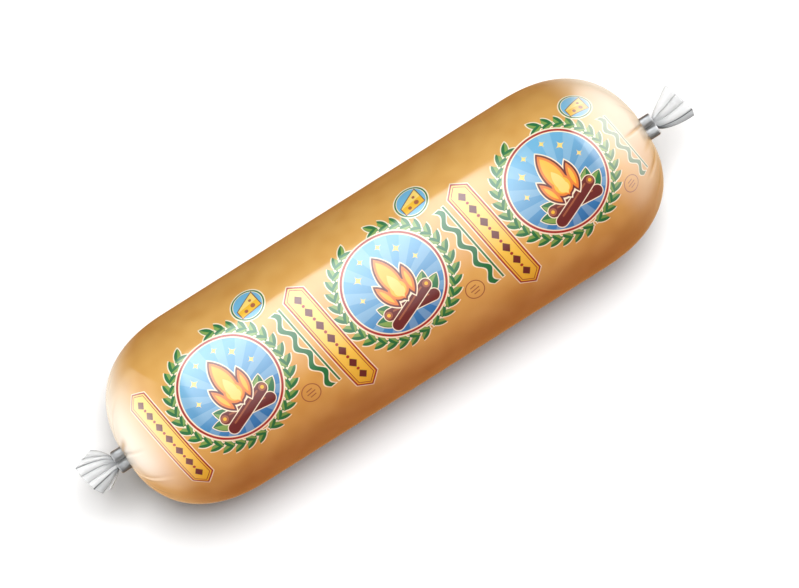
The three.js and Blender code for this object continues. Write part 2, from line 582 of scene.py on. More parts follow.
@dataclass(frozen=True)
class FilmPrint:
    """Generic print of the film: a fire in a leaf wreath between a gold bar and a green wave.

    Lengths are millimetres on the flat film and angles are degrees. Edges and insets count from a shape's
    own outline.
    """

    roll_radius: float
    faces_round: int = 2
    units: int = 3
    period: float = 72.5
    shift: float = 3.0
    slant: float = -9.0
    fine_edge: float = 0.35
    edge: float = 0.4
    broad_edge: float = 0.45
    # Wreath
    wreath: tuple[float, float] = (1.6, 0.0)
    first_leaf: float = 7.0
    leaf_step: float = 11.0
    leaves: int = 15
    leaf_vein: float = 0.12
    wreath_leaves: tuple[LeafMark, ...] = (
        LeafMark((0.6, 23.8), 38.0, 3.5, 1.35),
        LeafMark((0.6, 21.6), -30.0, 3.1, 1.2),
    )
    # Disc with its rays and sparks
    disc_radius: float = 19.4
    rim_edge: float = 1.5
    rim_line: float = 0.9
    rim_inset: float = 0.5
    ray_centre: tuple[float, float] = (0.0, 4.0)
    rays: float = 14.0
    ray_edge: float = 0.1
    ray_share: float = 0.3
    spark_scale: float = 0.5
    sparks: tuple[DiscMark, ...] = (
        DiscMark((4.4, -14.6), 1.9),
        DiscMark((9.4, -9.6), 2.4),
        DiscMark((13.0, -2.6), 1.8),
    )
    # Fire
    hearth_turns: tuple[float, ...] = (-168.0, -140.0, -112.0, -68.0, -40.0, -12.0)
    hearth_reach: float = 9.2
    hearth_squash: float = 0.55
    hearth_height: float = 11.5
    hearth_lean: float = -18.0
    hearth_turn_share: float = 0.8
    hearth_leaf: tuple[float, float] = (6.4, 2.7)
    hearth_vein: float = 0.3
    log_centre: tuple[float, float] = (0.0, 10.6)
    log_turns: tuple[float, float] = (16.0, -16.0)
    log_half: float = 9.0
    log_radius: float = 2.3
    log_end: float = 9.6
    log_rings: tuple[tuple[float, Ink], ...] = ((1.5, Ink.BARK), (0.7, Ink.GOLD))
    grain_rise: float = 0.9
    grain: tuple[float, float] = (7.2, 0.35)
    flames: tuple[LeafMark, ...] = (
        LeafMark((0.0, -2.4), 90.0, 10.6, 4.3),
        LeafMark((-5.2, 2.2), 76.0, 6.6, 2.4),
        LeafMark((5.2, 2.2), 104.0, 6.6, 2.4),
    )
    flame_belly: DiscMark = DiscMark((0.0, 2.6), 4.7)
    flame_tones: tuple[tuple[float, Ink], ...] = ((0.0, Ink.EMBER), (0.7, Ink.FLAME), (1.6, Ink.GOLD))
    core: LeafMark = LeafMark((0.0, 1.2), 90.0, 5.2, 1.9)
    core_belly: DiscMark = DiscMark((0.0, 3.4), 2.1)
    # Bar
    bar_centre: tuple[float, float] = (-29.4, 0.0)
    bar_half: tuple[float, float] = (4.9, 26.5)
    point_steepness: float = 0.9
    point_scale: float = 0.74
    bar_border: float = 0.65
    bar_line_inset: float = 1.35
    bar_line_half: float = 0.16
    diamond_step: float = 6.4
    diamond_narrowing: float = 1.25
    diamond_scale: float = 0.66
    diamond_half: float = 1.5
    row_end: float = 22.4
    dot_radius: float = 0.62
    dot_margin: float = 2.2
    # Wave
    wave_centre: tuple[float, float] = (31.2, 8.0)
    wave_half_height: float = 18.0
    wave_half_width: float = 0.85
    wave_length: float = 9.0
    wave_swing: float = 1.25
    wave_scale: float = 0.78
    line_shift: float = 3.1
    line_half_width: float = 0.38
    # Badge with its wedge
    badge_centre: tuple[float, float] = (27.0, -20.5)
    badge_radius: float = 6.3
    badge_rims: tuple[tuple[float, Ink], ...] = (
        (-0.9, Ink.CREAM),
        (-0.4, Ink.LEAF),
        (0.2, Ink.CREAM),
        (0.5, Ink.SKY),
    )
    wedge_slope: tuple[float, float] = (0.39, 0.92)
    wedge_top: float = 1.9
    wedge_left: float = 4.6
    wedge_right: float = 4.0
    wedge_bottom: float = 3.4
    wedge_front: float = 0.3
    wedge_holes: tuple[DiscMark, ...] = (
        DiscMark((-1.9, 2.0), 0.75),
        DiscMark((1.4, 1.7), 0.95),
        DiscMark((1.7, -1.0), 0.6),
    )
    # Stamp, with the height and half length of each line
    stamp_centre: tuple[float, float] = (23.0, 22.5)
    stamp_radius: float = 3.7
    stamp_ring_half: float = 0.2
    stamp_line_half: float = 0.22
    stamp_lines: tuple[tuple[float, float], ...] = ((-1.4, 1.3), (0.0, 1.9), (1.4, 1.3))

    def group(self) -> bpy.types.NodeTree:
        """Builds the print as a shader group that reads the film's map.

        Returns:
            A group with the place and the bare film's colour in, and the printed colour out.
        """
        tree = bpy.data.node_groups.new("film_print", "ShaderNodeTree")
        sockets = tree.interface
        sockets.new_socket("Place", in_out="INPUT", socket_type="NodeSocketVector")
        sockets.new_socket("Film", in_out="INPUT", socket_type="NodeSocketColor")
        sockets.new_socket("Color", in_out="OUTPUT", socket_type="NodeSocketColor")
        source = tree.nodes.new("NodeGroupInput")
        spot, within = self.unit_place(Spot(tree, source.outputs["Place"]))
        sheet = PrintSheet(source.outputs["Film"])
        self.print_wreath(sheet, spot.seen_from(self.wreath))
        self.print_fire(sheet, spot.seen_from(self.wreath))
        self.print_bar(sheet, spot.seen_from(self.bar_centre))
        self.print_wave(sheet, spot.seen_from(self.wave_centre))
        self.print_badge(sheet, spot.seen_from(self.badge_centre))
        self.print_stamp(sheet, spot.seen_from(self.stamp_centre))
        limited = PrintSheet(source.outputs["Film"])
        limited.lay(within, sheet.colour)
        out = tree.nodes.new("NodeGroupOutput")
        tree.links.new(limited.colour, out.inputs["Color"])
        return tree

    def unit_place(self, spot: Spot) -> tuple[Spot, Field]:
        """Repeats one unit along the roll and round it.

        Args:
            spot: Place on the whole film.

        Returns:
            Place inside the nearest unit, and a mask of the units that are printed.
        """
        slope = math.tan(math.radians(self.slant))
        down = spot.y.wrapped(TURN * self.roll_radius / self.faces_round)
        along = spot.x - self.shift
        count = ((along + down * slope) / self.period).math("ROUND")
        local = Spot.joined(along - count * self.period, down)
        within = (abs(count) - (self.units / 2)).math("LESS_THAN", 0.0)
        return local.seen_from((0.0, 0.0), self.slant), within

    def print_wreath(self, sheet: PrintSheet, spot: Spot) -> None:
        """Prints two leafy branches that rise on both sides of the disc.

        Args:
            sheet: Print so far.
            spot: Place from the wreath's centre.
        """
        first, step = math.radians(self.first_leaf), math.radians(self.leaf_step)
        half = Spot.joined(abs(spot.x), spot.y)
        rise = half.x.math("ARCTAN2", half.y)
        index = ((rise - first) / step).math("ROUND").most(0.0).least(self.leaves - 1.0)
        node = half.turned(index * step + first)
        blades = [mark.outside(node) for mark in self.wreath_leaves]
        for _, blade in blades:
            sheet.shape(blade - self.broad_edge, Ink.CREAM)
        for place, blade in blades:
            sheet.shape(blade, Ink.LEAF)
            sheet.shape((blade + self.leaf_vein).most(place.y), Ink.YOUNG_LEAF)

    def print_fire(self, sheet: PrintSheet, spot: Spot) -> None:
        """Prints the blue disc with its rays, sparks, leaves, logs and flames.

        Args:
            sheet: Print so far.
            spot: Place from the disc's centre.
        """
        radius = self.disc_radius
        disc = spot.disc((0.0, 0.0), radius)
        sheet.shape(disc - self.rim_edge, Ink.CREAM)
        sheet.shape(disc - self.rim_line, Ink.RED)
        sheet.shape(disc, Ink.CREAM)
        inside = disc + self.rim_inset
        height = (spot.y / (2 * radius) + 0.5).unit()
        sheet.lay(sheet.mask(inside), sheet.blend(height, Ink.SKY, Ink.DEEP_BLUE))
        hearth = spot.seen_from(self.ray_centre)
        rays = (hearth.x.math("ARCTAN2", hearth.y) * self.rays).sin()
        ray_mask = sheet.mask(inside) * rays.smooth(-self.ray_edge, self.ray_edge) * self.ray_share
        sheet.lay(ray_mask, Ink.PALE_SKY)
        self.print_sparks(sheet, spot)
        for turn in self.hearth_turns:
            self.print_hearth_leaf(sheet, spot, turn)
        self.print_logs(sheet, spot)
        self.print_flames(sheet, spot)

    def print_sparks(self, sheet: PrintSheet, spot: Spot) -> None:
        """Prints small four-pointed sparks on both sides of the fire.

        Args:
            sheet: Print so far.
            spot: Place from the disc's centre.
        """
        half = Spot.joined(abs(spot.x), spot.y)
        for mark in self.sparks:
            spark = half.seen_from(mark.centre)
            star = (abs(spark.x).math("SQRT") + abs(spark.y).math("SQRT")) ** 2.0
            sheet.shape((star - mark.radius) * self.spark_scale, Ink.PALE_GOLD)

    def print_hearth_leaf(self, sheet: PrintSheet, spot: Spot, turn: float) -> None:
        """Prints one large leaf of the bed under the logs.

        Args:
            sheet: Print so far.
            spot: Place from the disc's centre.
            turn: Direction of the leaf from the middle of the bed, in degrees.
        """
        angle = math.radians(turn)
        across = self.hearth_reach * math.cos(angle)
        down = self.hearth_height + self.hearth_squash * self.hearth_reach * math.sin(angle)
        place = spot.seen_from((across, down), turn * self.hearth_turn_share + self.hearth_lean)
        blade = place.leaf(*self.hearth_leaf)
        sheet.shape(blade - self.fine_edge, Ink.CREAM)
        sheet.shape(blade, Ink.LEAF)
        sheet.shape((blade + self.hearth_vein).most(place.y), Ink.YOUNG_LEAF)

    def print_logs(self, sheet: PrintSheet, spot: Spot) -> None:
        """Prints two crossed logs with pale cut ends.

        Args:
            sheet: Print so far.
            spot: Place from the disc's centre.
        """
        for turn in self.log_turns:
            place = spot.seen_from(self.log_centre, turn)
            log = place.rod(self.log_half, self.log_radius)
            sheet.shape(log - self.fine_edge, Ink.CREAM)
            sheet.shape(log, Ink.EMBER)
            sheet.shape(place.seen_from((0.0, -self.grain_rise)).rod(*self.grain), Ink.BARK)
            cut = (math.copysign(self.log_end, -turn), 0.0)
            for radius, ink in self.log_rings:
                sheet.shape(place.disc(cut, radius), ink)

    def print_flames(self, sheet: PrintSheet, spot: Spot) -> None:
        """Prints one tall flame between two small ones, each in four tones.

        Args:
            sheet: Print so far.
            spot: Place from the disc's centre.
        """
        flames = self.flame_belly.outside(spot)
        for mark in self.flames:
            flames = flames.least(mark.outside(spot)[1])
        sheet.shape(flames - self.broad_edge, Ink.CREAM)
        for inset, ink in self.flame_tones:
            sheet.shape(flames + inset, ink)
        core = self.core.outside(spot)[1].least(self.core_belly.outside(spot))
        sheet.shape(core, Ink.PALE_GOLD)

    def print_bar(self, sheet: PrintSheet, spot: Spot) -> None:
        """Prints the gold bar with pointed ends, a fine inner line and a row of diamonds.

        Args:
            sheet: Print so far.
            spot: Place from the bar's centre.
        """
        half_width, half_height = self.bar_half
        slope = abs(spot.y) + abs(spot.x) * self.point_steepness
        bar = (abs(spot.x) - half_width).most((slope - half_height) * self.point_scale)
        sheet.shape(bar - self.edge, Ink.CREAM)
        sheet.shape(bar, Ink.RED)
        fade = (spot.y / (2 * half_height) + 0.5).unit()
        sheet.lay(sheet.mask(bar + self.bar_border), sheet.blend(fade, Ink.PALE_GOLD, Ink.GOLD))
        sheet.shape(abs(bar + self.bar_line_inset) - self.bar_line_half, Ink.RED)
        row = Spot.joined(spot.x, spot.y.wrapped(self.diamond_step))
        aside = abs(row.x) * self.diamond_narrowing + abs(row.y)
        diamond = aside * self.diamond_scale - self.diamond_half
        limit = abs(spot.y) - self.row_end
        sheet.shape(diamond.most(limit), Ink.EMBER)
        between = (spot.y + self.diamond_step / 2).wrapped(self.diamond_step)
        dot = Spot.joined(spot.x, between).distance() - self.dot_radius
        sheet.shape(dot.most(limit + self.dot_margin), Ink.RED)

    def print_wave(self, sheet: PrintSheet, spot: Spot) -> None:
        """Prints a green wave beside a straight line.

        Args:
            sheet: Print so far.
            spot: Place from the wave's centre.
        """
        swing = (spot.y * (TURN / self.wave_length)).sin() * self.wave_swing
        limit = abs(spot.y) - self.wave_half_height
        wave = (abs(spot.x - swing) * self.wave_scale - self.wave_half_width).most(limit)
        line = spot.seen_from((self.line_shift, 0.0)).bar(self.line_half_width, self.wave_half_height)
        marks = wave.least(line)
        sheet.shape(marks - self.edge, Ink.CREAM)
        sheet.shape(marks, Ink.LEAF)

    def print_badge(self, sheet: PrintSheet, spot: Spot) -> None:
        """Prints a small round badge with a wedge of cheese.

        Args:
            sheet: Print so far.
            spot: Place from the badge's centre.
        """
        disc = spot.disc((0.0, 0.0), self.badge_radius)
        for inset, ink in self.badge_rims:
            sheet.shape(disc + inset, ink)
        slope = spot.y * self.wedge_slope[1] + spot.x * self.wedge_slope[0]
        top = slope * -1.0 - self.wedge_top
        sides = (spot.x - self.wedge_right).most(spot.x * -1.0 - self.wedge_left)
        wedge = top.most(sides).most(spot.y - self.wedge_bottom)
        sheet.shape(wedge - self.fine_edge, Ink.EMBER)
        sheet.shape(wedge, Ink.PALE_GOLD)
        sheet.shape(wedge.most(spot.y * -1.0 + self.wedge_front), Ink.GOLD)
        for hole in self.wedge_holes:
            sheet.shape(hole.outside(spot), Ink.BARK)

    def print_stamp(self, sheet: PrintSheet, spot: Spot) -> None:
        """Prints a fine ring with three short lines in it.

        Args:
            sheet: Print so far.
            spot: Place from the ring's centre.
        """
        marks = abs(spot.disc((0.0, 0.0), self.stamp_radius)) - self.stamp_ring_half
        for height, half_length in self.stamp_lines:
            line = spot.seen_from((0.0, height)).bar(half_length, self.stamp_line_half)
            marks = marks.least(line)
        sheet.shape(marks, Ink.BARK)


def handling_marks() -> bpy.types.NodeTree:
    """Builds the group of fine scuffs that film and metal share.

    Returns:
        A group that gives an uneven roughness and the height of fine scuffs.
    """
    tree = bpy.data.node_groups.new("handling_marks", "ShaderNodeTree")
    sockets = tree.interface
    sockets.new_socket("Place", in_out="INPUT", socket_type="NodeSocketVector")
    for label in ("Scale", "Base Roughness", "Spread"):
        sockets.new_socket(label, in_out="INPUT", socket_type="NodeSocketFloat")
    sockets.new_socket("Roughness", in_out="OUTPUT", socket_type="NodeSocketFloat")
    sockets.new_socket("Height", in_out="OUTPUT", socket_type="NodeSocketFloat")
    source = tree.nodes.new("NodeGroupInput")
    noise = tree.nodes.new("ShaderNodeTexNoise")
    noise.inputs["Detail"].default_value = 5.0
    noise.inputs["Roughness"].default_value = 0.6
    tree.links.new(source.outputs["Place"], noise.inputs["Vector"])
    tree.links.new(source.outputs["Scale"], noise.inputs["Scale"])
    swing = Field(tree, noise.outputs[0]) - 0.5
    rough = swing * Field(tree, source.outputs["Spread"]) + Field(tree, source.outputs["Base Roughness"])
    out = tree.nodes.new("NodeGroupOutput")
    tree.links.new(rough.unit().socket, out.inputs["Roughness"])
    tree.links.new(swing.socket, out.inputs["Height"])
    return tree


@dataclass(frozen=True)
class Wear:
    """Fine scuffs of a finish: how many in a metre, its roughness and how far that swings."""

    scale: float
    roughness: float
    swing: float


class Finish:
    """A material under construction: a Principled shader and the nodes that feed it."""

    def __init__(self, name: str, **constants: object) -> None:
        """Makes the material and sets what is the same all over it.

        Args:
            name: Name of the material.
            constants: Values of the shader's sockets, with underscores for spaces.
        """
        self.material = bpy.data.materials.new(name)
        self.material.use_nodes = True
        self.tree = self.material.node_tree
        self.shader = self.tree.nodes["Principled BSDF"]
        for key, value in constants.items():
            self.shader.inputs[key.replace("_", " ")].default_value = value
        self.place = self.tree.nodes.new("ShaderNodeTexCoord").outputs["Object"]

    def node(self, kind: str, inputs: dict[str, object]) -> bpy.types.Node:
        """Adds a node, links the sockets among its inputs and sets the others.

        Args:
            kind: Node type.
            inputs: Input names with a socket or a value each.

        Returns:
            The node.
        """
        made = self.tree.nodes.new(kind)
        self.fill(made, inputs)
        return made

    def fill(self, made: bpy.types.Node, inputs: dict[str, object]) -> None:
        """Links or sets the inputs of a node."""
        for label, value in inputs.items():
            feed(self.tree, value, made.inputs[label])

    def group(self, tree: bpy.types.NodeTree, inputs: dict[str, object]) -> bpy.types.Node:
        """Places a shader group with its own values.

        Args:
            tree: The group's tree.
            inputs: Input names with a socket or a value each.

        Returns:
            The node of the group.
        """
        made = self.tree.nodes.new("ShaderNodeGroup")
        made.node_tree = tree
        self.fill(made, inputs)
        return made

    def drive(self, label: str, socket: bpy.types.NodeSocket) -> None:
        """Links a socket to an input of the shader."""
        self.tree.links.new(socket, self.shader.inputs[label])

    def scuff(
        self, marks: bpy.types.NodeTree, wear: Wear, place: bpy.types.NodeSocket
    ) -> bpy.types.NodeSocket:
        """Makes the finish unevenly rough.

        Args:
            marks: Shared group of fine scuffs.
            wear: How this finish is worn.
            place: Place that the scuffs read.

        Returns:
            Height of the scuffs.
        """
        sizes = {"Scale": wear.scale, "Base Roughness": wear.roughness, "Spread": wear.swing}
        scuffs = self.group(marks, {"Place": place, **sizes})
        self.drive("Roughness", scuffs.outputs["Roughness"])
        return scuffs.outputs["Height"]

    def bump(self, height: bpy.types.NodeSocket, distance: float) -> None:
        """Feeds a height to the shader's normal, with its full depth in metres."""
        inputs = {"Height": height, "Distance": distance, "Strength": 1.0}
        self.drive("Normal", self.node("ShaderNodeBump", inputs).outputs[0])

    def blend(self, amount: bpy.types.NodeSocket, start: Colour, end: Colour) -> bpy.types.NodeSocket:
        """Mixes two colours by the number of a socket."""
        return mixed(Field(self.tree, amount), start, end)


@dataclass(frozen=True)
class PrintedFilm:
    """Glossy golden film with its print, tinted unevenly by smoke.

    Towards its gathers it turns pale: partly the film's own paleness, partly a painted reflection veil.
    Shade is painted along its folds as a darker orange.
    """

    print_design: FilmPrint
    golden: tuple[int, int, int] = (232, 184, 101)
    smoked: tuple[int, int, int] = (219, 164, 80)
    # Pale colour at the gathers: partly the film's own paleness, partly a painted reflection veil
    milky_sheen: tuple[int, int, int] = (252, 243, 226)
    # Darker orange of the shade painted along the folds
    fold_shade_colour: tuple[int, int, int] = (212, 152, 34)
    tint_size: float = 0.05
    tint_weight: float = 0.5
    mottle_size: float = 0.011
    smoke_fade: tuple[float, float] = (0.45, 1.05)
    # Reach and strength of the pale colour at each end, weaker on the lower front where less veil is
    # painted
    milky_share_right: float = 0.5
    milky_share_left: float = 0.9
    milky_right: tuple[float, float] = (90.0, 114.0)
    milky_left: tuple[float, float] = (95.0, 121.0)
    milky_low_right: tuple[float, float] = (-8.0, 20.0)
    milky_low_left: tuple[float, float] = (9.0, 33.0)
    milky_under: tuple[float, float] = (112.0, 70.0)
    milky_loss_right: float = 0.6
    milky_loss_left: float = 0.95
    wear: Wear = Wear(scale=900.0, roughness=0.34, swing=0.2)

    def smoke(self, finish: Finish) -> bpy.types.NodeSocket:
        """Makes the uneven tint of the smoke, broad clouds with a finer mottle in them.

        Args:
            finish: Material under construction.

        Returns:
            How strongly the film is tinted, 0 to 1.
        """
        waves = []
        for size, detail in ((self.tint_size, 2.0), (self.mottle_size, 1.0)):
            inputs = {"Vector": finish.place, "Scale": 1 / size, "Detail": detail}
            waves.append(Field(finish.tree, finish.node("ShaderNodeTexNoise", inputs).outputs[0]))
        return (waves[0] * self.tint_weight + waves[1]).smooth(*self.smoke_fade).socket

    def milky_sheen_mask(self, spot: Spot) -> bpy.types.NodeSocket:
        """Makes the mask of the pale film at both ends, partly a painted reflection veil.

        Args:
            spot: Place on the film, in millimetres from its middle.

        Returns:
            How pale the film is, painted reflection veil included.
        """
        front = spot.y.smooth(*self.milky_under)
        right_loss = spot.y.smooth(*self.milky_low_right) * front * self.milky_loss_right
        left_loss = spot.y.smooth(*self.milky_low_left) * front * self.milky_loss_left
        right = spot.x.smooth(*self.milky_right) * (1.0 - right_loss)
        left = (spot.x * -1.0).smooth(*self.milky_left) * (1.0 - left_loss)
        return (right * self.milky_share_right).most(left * self.milky_share_left).socket

    def material(self, marks: bpy.types.NodeTree) -> bpy.types.Material:
        """Builds the film's material.

        Args:
            marks: Shared group of fine scuffs.

        Returns:
            The material.
        """
        finish = Finish("printed_film", Coat_Weight=1.0, Coat_Roughness=0.03, Coat_IOR=1.8)
        film = finish.blend(self.smoke(finish), linear(self.golden), linear(self.smoked))
        place = finish.tree.nodes.new("ShaderNodeUVMap")
        place.uv_map = FILM_MAP
        printed = finish.group(self.print_design.group(), {"Place": place.outputs[0], "Film": film})
        face = printed.outputs["Color"]
        # Pale at both ends: partly the film's own paleness, partly a painted reflection veil
        milky_sheen = self.milky_sheen_mask(Spot(finish.tree, place.outputs[0]))
        clouded = finish.blend(milky_sheen, face, linear(self.milky_sheen))
        # Shade painted along the folds turns the film a darker orange
        crease_shade = finish.tree.nodes.new("ShaderNodeAttribute")
        crease_shade.attribute_name = CREASE_SHADE_MASK
        finish.drive("Base Color", finish.blend(crease_shade.outputs["Fac"], clouded, linear(self.fold_shade_colour)))
        finish.scuff(marks, self.wear, finish.place)
        return finish.material


@dataclass(frozen=True)
class ClipWire:
    """Soft drawn wire, dull grey with uneven stains and fine lines."""

    grey: tuple[int, int, int] = (214, 214, 215)
    dull: tuple[int, int, int] = (131, 132, 133)
    stain_scale: float = 260.0
    stretch: tuple[float, float, float] = (0.35, 1.0, 1.0)
    scuff_depth: float = 0.00012
    wear: Wear = Wear(scale=1500.0, roughness=0.36, swing=0.3)

    def material(self, marks: bpy.types.NodeTree) -> bpy.types.Material:
        """Builds the wire's material.

        Args:
            marks: Shared group of fine scuffs.

        Returns:
            The material.
        """
        finish = Finish("clip_wire", Metallic=0.75)
        stretched = finish.node("ShaderNodeMapping", {"Vector": finish.place, "Scale": self.stretch})
        finish.bump(finish.scuff(marks, self.wear, stretched.outputs[0]), self.scuff_depth)
        stain = finish.node("ShaderNodeTexNoise", {"Vector": finish.place, "Scale": self.stain_scale})
        finish.drive("Base Color", finish.blend(stain.outputs[0], linear(self.dull), linear(self.grey)))
        return finish.material


@dataclass(frozen=True)
class ClearFilm:
    """Thin whitish film, with grey shade painted along its pleats' edges, near its rope and on shaded
    pleats.

    Where shade is painted, the film is also less clear.
    """

    pale: tuple[int, int, int] = (248, 249, 250)
    # Grey of the painted shade
    crease_shade: tuple[int, int, int] = (80, 86, 88)
    clear: float = 0.55
    clouded: float = 0.9
    scuff_depth: float = 0.0002
    wear: Wear = Wear(scale=700.0, roughness=0.24, swing=0.25)

    def material(self, marks: bpy.types.NodeTree) -> bpy.types.Material:
        """Builds the clear film's material.

        Args:
            marks: Shared group of fine scuffs.

        Returns:
            The material.
        """
        finish = Finish("clear_film")
        crease_shade = finish.node("ShaderNodeAttribute", {})
        crease_shade.attribute_name = CREASE_SHADE_MASK
        # Painted shade greys the film and makes it less clear
        shaded = finish.blend(crease_shade.outputs["Fac"], linear(self.pale), linear(self.crease_shade))
        finish.drive("Base Color", shaded)
        limits = {"Value": crease_shade.outputs["Fac"], "To Min": self.clear, "To Max": self.clouded}
        finish.drive("Alpha", finish.node("ShaderNodeMapRange", limits).outputs[0])
        finish.bump(finish.scuff(marks, self.wear, finish.place), self.scuff_depth)
        return finish.material


@dataclass(frozen=True)
class RollSizes:
    """Sizes of the roll in millimetres: the measured ones come from its solid."""

    radius: float
    lip_x: float
    axis_height: float
    straight_half: float = 75.0
    fullness: float = 2.4
    lip_radius: float = 8.4
    floor_radius: float = 6.2
    floor_depth: float = 1.1
    gather_offset: float = 1.1

    @classmethod
    def from_frame(cls) -> "RollSizes":
        """Reads the roll's radius, length and height from its solid.

        Returns:
            The sizes.
        """
        low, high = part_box("cheese_roll")
        radius = (high.y - low.y) / 2 / MM
        return cls(radius=radius, lip_x=high.x / MM, axis_height=high.z / MM - radius)

    def end_round(self, share: float) -> float:
        """Radius of a rounded end as a share of the roll's, at a share of its depth."""
        return (1 - share**self.fullness) ** (1 / self.fullness)

    @property
    def lip_share(self) -> float:
        """Share of a full end's depth at which its lip stands."""
        return self.end_round(self.lip_radius / self.radius)

    @property
    def end_depth(self) -> float:
        """Depth of a full end, as if it had no lip."""
        return (self.lip_x - self.straight_half) / self.lip_share


@dataclass(frozen=True)
class Fold:
    """One fold that runs out from a clip: a valley in the film, with shade painted along its middle.

    The angle is in degrees from the top towards -Y, and the other sizes are millimetres: near and far are
    the radii between which the fold is deep, rise is the way over which it deepens before the first, and
    lean is how far its inner end stands towards +Y. It fades from a share of the far radius, and its tint,
    which is painted shade in the valley, covers a share of its half width.
    """

    angle: float
    half: float
    depth: float
    far: float
    # Strength of the shade painted along the fold
    tint: float = 0.0
    near: float = 11.0
    lean: float = 0.0
    rise: float = 3.5
    fade_from: float = 0.75
    painted_shade_share: float = 0.7

    def sink(self, radius: Field, angle: Field) -> tuple[Field, Field]:
        """Works out the fold's depth and its painted shade.

        Args:
            radius: Distance from the roll's axis.
            angle: Angle round the axis, from the top towards -Y, in radians.

        Returns:
            Depth in millimetres, and the share of the painted shade's colour.
        """
        aside = (angle - math.radians(self.angle)).wrapped(TURN) * radius
        if self.lean:
            aside = aside + (1.0 - radius.smooth(self.near, self.far)) * self.lean
        inner = radius.smooth(self.near - self.rise, self.near)
        reach = inner * radius.smooth(self.far, self.far * self.fade_from)
        valley = abs(aside).smooth(self.half, 0.0) * reach
        crease_shade = abs(aside).smooth(self.half * self.painted_shade_share, 0.0) * reach
        return valley * self.depth, crease_shade * self.tint


# Folds of both ends: each tint is the strength of the shade painted along a fold
RIGHT_FOLDS = (
    Fold(angle=-1.0, half=1.4, depth=0.4, far=30.0, tint=1.0, lean=1.8),
    Fold(angle=19.0, half=2.3, depth=0.1, far=25.0, tint=0.5),
    Fold(angle=38.0, half=2.2, depth=0.2, far=30.0, tint=0.8),
    Fold(angle=59.0, half=2.6, depth=0.22, far=31.0, tint=0.7),
    Fold(angle=82.0, half=3.0, depth=0.2, far=29.0, tint=0.4),
    Fold(angle=-38.0, half=1.6, depth=0.12, far=24.0, tint=0.1),
    Fold(angle=-68.0, half=2.0, depth=0.2, far=26.0, tint=0.15),
    Fold(angle=-105.0, half=2.2, depth=0.4, far=29.0, tint=0.35),
    Fold(angle=-142.0, half=1.8, depth=0.35, far=25.0, tint=0.4),
    Fold(angle=115.0, half=2.0, depth=0.4, far=28.0, tint=0.4),
    Fold(angle=150.0, half=1.6, depth=0.35, far=24.0, tint=0.35),
    Fold(angle=178.0, half=2.0, depth=0.35, far=27.0, tint=0.35),
)
LEFT_FOLDS = (
    Fold(angle=-14.0, half=3.6, depth=0.14, far=22.0, tint=0.8, near=8.6),
    Fold(angle=5.0, half=1.3, depth=0.3, far=29.0, tint=0.16, lean=1.8),
    Fold(angle=60.0, half=1.6, depth=0.2, far=28.0, tint=0.15),
    Fold(angle=84.0, half=3.0, depth=0.2, far=28.0, tint=0.2),
    Fold(angle=-46.0, half=2.0, depth=0.14, far=30.0, tint=0.16),
    Fold(angle=-70.0, half=2.4, depth=0.2, far=33.0, tint=0.26),
    Fold(angle=-112.0, half=2.2, depth=0.4, far=29.0, tint=0.35),
    Fold(angle=-148.0, half=1.8, depth=0.35, far=25.0, tint=0.4),
    Fold(angle=112.0, half=2.0, depth=0.4, far=28.0, tint=0.4),
    Fold(angle=146.0, half=1.6, depth=0.35, far=24.0, tint=0.35),
    Fold(angle=174.0, half=2.0, depth=0.35, far=27.0, tint=0.35),
)


